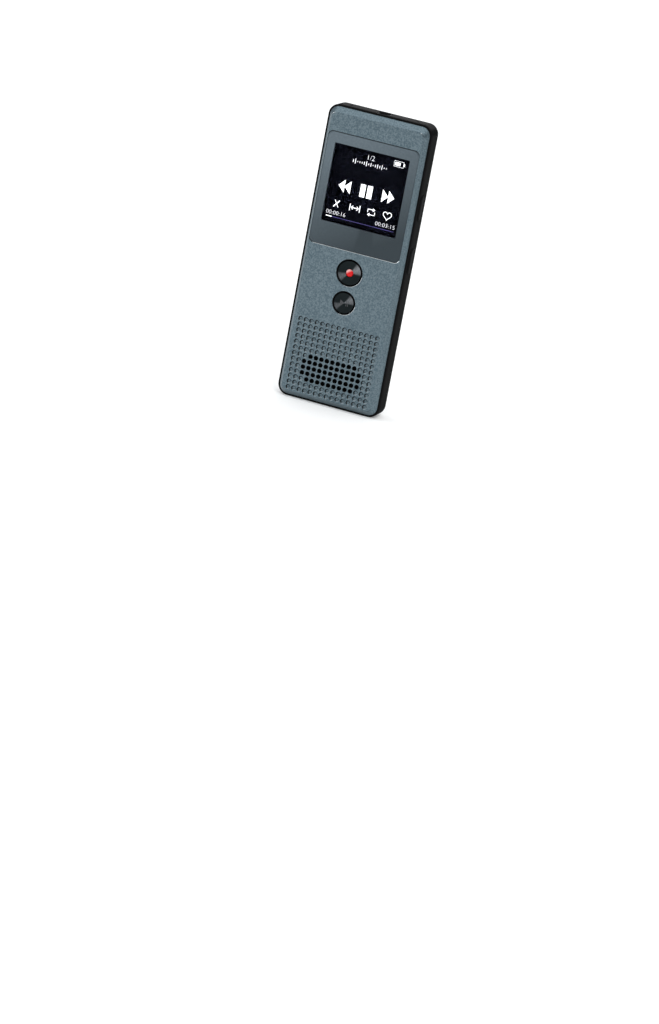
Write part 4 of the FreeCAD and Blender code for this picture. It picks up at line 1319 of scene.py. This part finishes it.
@dataclass
class Screen:
    """The lens with its printed border and clear window, and the picture behind it."""

    half_width: float = 11.75
    low: float = 54.35
    high: float = 77.58
    corner: float = 1.5
    chamfer: float = 0.06
    window_corner: float = 0.25
    picture_depth: float = 0.86
    picture_thickness: float = 0.04
    picture_chamfer: float = 0.005
    pane_gap: float = 0.004
    pane_rise: float = 0.002
    pane_back: float = 0.05
    thin: float = 0.2
    heart_steps: int = 32
    wave_bars: int = 16
    wave_span: float = 10.4
    wave_x: float = -0.33
    wave_height: float = 73.5

    def build(self) -> None:
        """Builds the lens and the picture."""
        self.border()
        self.pane()
        self.transport()
        self.row_of_icons()
        self.battery()
        self.wave()
        self.progress()
        self.numbers()

    def border(self) -> None:
        """Builds the printed border of the lens, open over the picture."""
        lens = Place.of("window_lens")
        shape = Shape()
        cut, front = self.chamfer, lens.front
        outer = []
        middle = cut * LIP_MIDDLE
        for inset, depth in ((cut, 0.0), (middle, middle), (0.0, cut), (0.0, lens.back - front)):
            width, length = lens.half_width - inset, lens.half_length - inset
            outer.append(shape.outline(lens.x, lens.height, width, length, self.corner, front + depth))
        shape.bridge(*outer)
        window = [self.window(shape, 0.0, depth) for depth in (front, lens.back)]
        shape.bridge(*window)
        shape.fill(front)
        shape.fill(lens.back)
        shape.piece("lens_border", PRINT_AND_REFLECTION, Body.CASE, ("window_lens",), weighted=True)

    def window(self, shape: Shape, inset: float, depth: float) -> list[bmesh.types.BMEdge]:
        """Draws the window's outline.

        Args:
            shape: the mesh.
            inset: how far inside the window's edge.
            depth: how far back.

        Returns:
            Its edges.
        """
        middle, half = (self.low + self.high) / 2, (self.high - self.low) / 2
        width = self.half_width - inset
        return shape.outline(0.0, middle, width, half - inset, self.window_corner, depth, 4)

    def pane(self) -> None:
        """Builds the clear window, flush with the border."""
        lens = Place.of("window_lens")
        depths = (lens.front + self.pane_rise, lens.back - self.pane_back)
        shape = Shape()
        loops = [self.window(shape, self.pane_gap, depth) for depth in depths]
        shape.bridge(*loops)
        for depth in depths:
            shape.fill(depth)
        shape.piece("lens_pane", CLEAR, Body.CASE)

    def bar(
        self, shape: Shape, left: float, right: float, low: float, high: float, radius: float = 0.05
    ) -> None:
        """Adds a flat lit bar between two corners."""
        shape.slab(
            (left + right) / 2, (low + high) / 2, (right - left) / 2, (high - low) / 2, radius,
            self.picture_depth, self.picture_thickness, self.picture_chamfer,
        )

    def line(
        self, shape: Shape, points: list[Point], width: float, closed: bool = False
    ) -> None:
        """Adds a lit stroke of even width along some points.

        Args:
            shape: the mesh.
            points: across and up, in millimetres.
            width: the stroke's width.
            closed: whether the stroke returns to its start.
        """
        curve = bpy.data.curves.new("stroke", "CURVE")
        curve.dimensions = "2D"
        spline = curve.splines.new("POLY")
        spline.points.add(len(points) - 1)
        for spot, (x, height) in zip(spline.points, points):
            spot.co = (x, height, 0.0, 1.0)
        spline.use_cyclic_u = closed
        curve.dimensions = "3D"
        curve.bevel_depth = width / 2
        curve.bevel_resolution = 1
        curve.use_fill_caps = True
        self.flatten(shape, bpy.data.objects.new("stroke", curve), Matrix.Identity(4))

    def flatten(self, shape: Shape, item: bpy.types.Object, place: Matrix) -> None:
        """Makes a curve or text, drawn in millimetres, a thin mesh in the plane of the picture.

        Args:
            shape: the mesh that it joins.
            item: the curve or text.
            place: where it goes in its own plane, in millimetres.
        """
        stand = Matrix.Rotation(math.pi / 2, 4, "X")
        thin = Matrix.Diagonal((1.0, 1.0, self.thin, 1.0))
        level = Matrix.Translation(at(0.0, self.picture_depth + self.picture_thickness / 2, 0.0))
        mesh = bpy.data.meshes.new_from_object(item)
        shape.add_mesh(mesh, level @ stand @ place @ thin)
        data = item.data
        bpy.data.objects.remove(item)
        bpy.data.curves.remove(data)

    def transport(self) -> None:
        """Adds the rewind, pause and forward marks."""
        shape = Shape()
        middle, rise = 65.5, 3.8
        for x, reach in ((-7.65, -1.9), (-5.75, -1.9), (6.05, 1.9), (7.98, 1.9)):
            shape.triangle(x, middle, reach, rise, self.picture_depth, self.picture_thickness)
        for left in (-1.8, 0.38):
            self.bar(shape, left, left + 1.57, middle - rise / 2, middle + rise / 2)
        shape.piece("transport_marks", LIT, Body.CASE)

    def row_of_icons(self) -> None:
        """Adds the row of small marks: no sound, repeat a stretch, repeat all, and favourite."""
        shape = Shape()
        low, high = 58.9, 61.0
        middle = (low + high) / 2
        self.line(shape, [(-9.0, low), (-7.3, high)], 0.3)
        self.line(shape, [(-8.8, high), (-7.5, low)], 0.2)
        for x, sign in ((-3.95, 1), (-0.85, -1)):
            tip, barb = x + sign * 0.4, x + sign * 0.95
            self.line(shape, [(x, low + 0.05), (x, high - 0.05)], 0.24)
            self.line(shape, [(barb, middle + 0.55), (tip, middle), (barb, middle - 0.55)], 0.22)
        self.line(shape, [(-3.5, middle), (-1.3, middle)], 0.22)
        centre = 2.78
        for sign in (-1, 1):
            foot, top = middle - sign * 0.15, middle + sign * 0.78
            corner = centre - sign * 1.1
            self.line(shape, [(corner, foot), (corner, top), (centre + sign * 0.45, top)], 0.22)
            tip = centre + sign * 0.78
            shape.triangle(tip, top, sign * 0.7, 1.0, self.picture_depth, self.picture_thickness)
        self.line(shape, self.heart(7.8, 60.15, 1.32), 0.2, closed=True)
        shape.piece("mode_marks", LIT, Body.CASE)

    def heart(self, x: float, height: float, half: float) -> list[Point]:
        """The outline of a heart, from the usual formula.

        Args:
            x: its middle, across.
            height: its middle, upwards.
            half: half its width.

        Returns:
            Its points.
        """
        points = []
        for index in range(self.heart_steps):
            turn = math.tau * index / self.heart_steps
            waves = zip((13, -5, -2, -1), (1, 2, 3, 4))
            rise = sum(size * math.cos(order * turn) for size, order in waves)
            points.append((x + half * math.sin(turn) ** 3, height + half * rise / 16))
        return points

    def battery(self) -> None:
        """Adds the battery gauge."""
        shape = Shape()
        left, right, low, high = 6.95, 9.85, 74.85, 76.5
        corners = [(left, low), (right, low), (right, high), (left, high)]
        self.line(shape, corners, 0.13, closed=True)
        self.bar(shape, left + 0.3, right - 1.0, low + 0.34, high - 0.34)
        self.bar(shape, right + 0.1, right + 0.4, low + 0.45, high - 0.45)
        shape.piece("battery_gauge", LIT, Body.CASE)

    def wave(self) -> None:
        """Adds a plain sound wave of bars where a title would be."""
        shape = Shape()
        level = self.wave_height
        for index in range(self.wave_bars):
            x = self.wave_x + self.wave_span * (index / (self.wave_bars - 1) - 0.5)
            swell = 0.14 + 0.66 * abs(math.sin(index * 1.3 + 0.5) * math.cos(index * 0.55 - 0.3))
            self.bar(shape, x - 0.10, x + 0.10, level - swell, level + swell, 0.03)
        shape.piece("sound_wave", SOFT, Body.CASE)

    def progress(self) -> None:
        """Adds the line that shows how far the recording has played."""
        whole, played = Shape(), Shape()
        height = 55.9
        self.bar(whole, -8.9, 10.6, height - 0.06, height + 0.06, 0.03)
        whole.piece("progress_line", DIM, Body.CASE)
        self.bar(played, -10.76, -8.94, height - 0.13, height + 0.13, 0.04)
        played.piece("progress_played", LIT, Body.CASE)

    def numbers(self) -> None:
        """Adds the two clocks and the track counter."""
        shape = Shape()
        self.text(shape, "00:00:16", -10.9, 56.62, 57.75, 6.05)
        self.text(shape, "00:03:15", 4.6, 56.62, 57.75, 6.1)
        self.text(shape, "1/2", -1.25, 74.75, 76.15, 2.1)
        shape.piece("number_marks", SOFT, Body.CASE)

    def text(
        self, shape: Shape, words: str, left: float, low: float, high: float, width: float
    ) -> None:
        """Adds a line of digits.

        Args:
            shape: the mesh.
            words: the digits.
            left: where the line starts.
            low: its foot.
            high: its top.
            width: how long it is.
        """
        curve = bpy.data.curves.new("digits", "FONT")
        curve.body = words
        curve.extrude = 0.1
        curve.offset = -0.02
        curve.resolution_u = 3
        item = bpy.data.objects.new("digits", curve)
        bpy.context.scene.collection.objects.link(item)
        bpy.context.view_layer.update()
        corners = [Vector(corner) for corner in item.bound_box]
        least = Vector(min(corner[axis] for corner in corners) for axis in range(3))
        most = Vector(max(corner[axis] for corner in corners) for axis in range(3))
        size = most - least
        scale = Matrix.Diagonal((width / size.x, (high - low) / size.y, 1.0, 1.0))
        start = Matrix.Translation((-least.x, -least.y, 0.0))
        place = Matrix.Translation((left, low, 0.0)) @ scale @ start
        self.flatten(shape, item, place)


@dataclass
class Casing:
    """The black frame, the back cover and its screws, refined from their CAD shapes."""

    edge: float = 0.06
    back_edge: float = 0.05

    def build(self) -> None:
        """Rounds the fine edges of each casing part."""
        for node, name, finish, edge in (
            ("mid_frame", "side_frame", FRAME_BLACK, self.edge),
            ("back_cover", "back_shell", COVER_BLACK, self.back_edge),
            ("case_screws", "cover_screws", SCREW, 0.05),
        ):
            shape = Shape()
            shape.copy_node(node)
            shape.round_edges(edge)
            shape.piece(name, finish, Body.CASE, (node,), weighted=True)


@dataclass
class SideControls:
    """The two keys on the right side and the power slider on the left."""

    edge: float = 0.14

    def build(self) -> None:
        """Rounds the edges of the keys and the slider."""
        for node, name, body in (
            ("volume_key", "volume_rocker", Body.VOLUME),
            ("menu_key", "menu_rocker", Body.MENU),
            ("power_knob", "power_slider", Body.POWER),
        ):
            shape = Shape()
            shape.copy_node(node)
            shape.round_edges(self.edge, 25.0)
            shape.piece(name, KEY_BLACK, body, (node,), weighted=True)


class Insides:
    """The CAD nodes that keep their own shape, each with the material of its slot."""

    def build(self) -> None:
        """Gives each node that is still shown its material."""
        finishes = {finish.slot: finish for finish in DRESSED_NODES}
        slots = {part["node"]: part["material_slot"] for part in frame["record"]["subparts"]}
        for node, item in frame["nodes"].items():
            if item.hide_render:
                continue
            finish = finishes[slots[node]]
            item.data.materials.clear()
            item.data.materials.append(finish.material())
            LOG.info("%s: dressed in %s", node, finish.slot)


# Studio


@dataclass
class Studio:
    """A pale floor, soft lights and the camera."""

    azimuth: float = 18.025
    elevation: float = 15.486
    roll: float = 10.86
    distance: float = 1.129
    aim: tuple[float, float, float] = (0.0062, 0.0, -0.0320)
    lens: float = 133.2
    sensor: float = 36.0

    def camera(self) -> None:
        """Places the camera."""
        turn, rise, roll = (math.radians(angle) for angle in (self.azimuth, self.elevation, self.roll))
        level = Vector((math.cos(turn), math.sin(turn), 0.0))
        back = Vector((level.y * math.cos(rise), -level.x * math.cos(rise), math.sin(rise)))
        upright = back.cross(level)
        right = level * math.cos(roll) + upright * math.sin(roll)
        up = upright * math.cos(roll) - level * math.sin(roll)
        data = bpy.data.cameras.new("camera")
        data.lens = self.lens
        data.sensor_width = self.sensor
        data.clip_start = 0.01
        camera = bpy.data.objects.new("camera", data)
        turned = Matrix((right, up, back)).transposed().to_4x4()
        camera.matrix_world = Matrix.Translation(Vector(self.aim) + back * self.distance) @ turned
        bpy.context.scene.collection.objects.link(camera)
        bpy.context.scene.camera = camera

    def light(
        self, name: str, place: Point, height: float, aim: Vector, size: Point, power: float, tint: Colour
    ) -> None:
        """Adds one soft box.

        Args:
            name: the light's name.
            place: where it hangs, across and back, in metres.
            height: how high, in metres.
            aim: what it points at.
            size: its width and length, in metres.
            power: in watts.
            tint: its colour.
        """
        data = bpy.data.lights.new(name, "AREA")
        data.shape = "RECTANGLE"
        data.size, data.size_y = size
        data.energy = power
        data.color = tint
        item = bpy.data.objects.new(name, data)
        item.location = (place[0], place[1], height)
        item.rotation_euler = (aim - item.location).to_track_quat("-Z", "Y").to_euler()
        item.visible_camera = False
        bpy.context.scene.collection.objects.link(item)

    def lights(self) -> None:
        """Hangs the soft boxes and sets the room's own light."""
        low, high = CAD_BOX
        centre = (low + high) / 2
        self.light("key_box", (0.55, -0.75), 0.85, centre, (0.35, 0.35), 4.2, (1.0, 0.985, 0.96))
        self.light("top_box", (-0.05, 0.10), 1.1, centre, (1.8, 1.5), 9.0, (1.0, 1.0, 1.0))
        self.light("left_box", (-0.9, -0.4), 0.38, centre, (0.35, 0.35), 3.0, (0.95, 0.98, 1.0))
        self.light("back_box", (-0.20, 1.30), 0.45, centre, (1.0, 0.5), 4.0, (1.0, 1.0, 1.0))
        world = bpy.data.worlds.new("room")
        world.use_nodes = True
        ground = world.node_tree.nodes["Background"]
        ground.inputs["Color"].default_value = (0.93, 0.97, 1.0, 1.0)
        ground.inputs["Strength"].default_value = 0.45
        bpy.context.scene.world = world

    def floor(self) -> None:
        """Lays the pale floor."""
        mesh = bpy.data.meshes.new("floor")
        shape = bmesh.new()
        bmesh.ops.create_circle(shape, cap_ends=True, segments=64, radius=4.0)
        shape.to_mesh(mesh)
        shape.free()
        floor = bpy.data.objects.new("floor", mesh)
        floor.location.z = CAD_BOX[0].z
        bpy.context.scene.collection.objects.link(floor)
        mesh.materials.append(PAPER.material())

    def build(self) -> None:
        """Sets the whole studio."""
        self.camera()
        self.lights()
        self.floor()
        settings = bpy.context.scene.view_settings
        settings.view_transform = "Standard"
        settings.look = "None"


def main() -> None:
    """Builds the recorder's pieces and the studio, in order."""
    logging.basicConfig(level=logging.INFO, format="%(name)s: %(message)s")
    for section in (FrontPlate(), Buttons(), Screen(), Casing(), SideControls(), Insides(), Studio()):
        section.build()


if __name__ == "__main__":
    main()
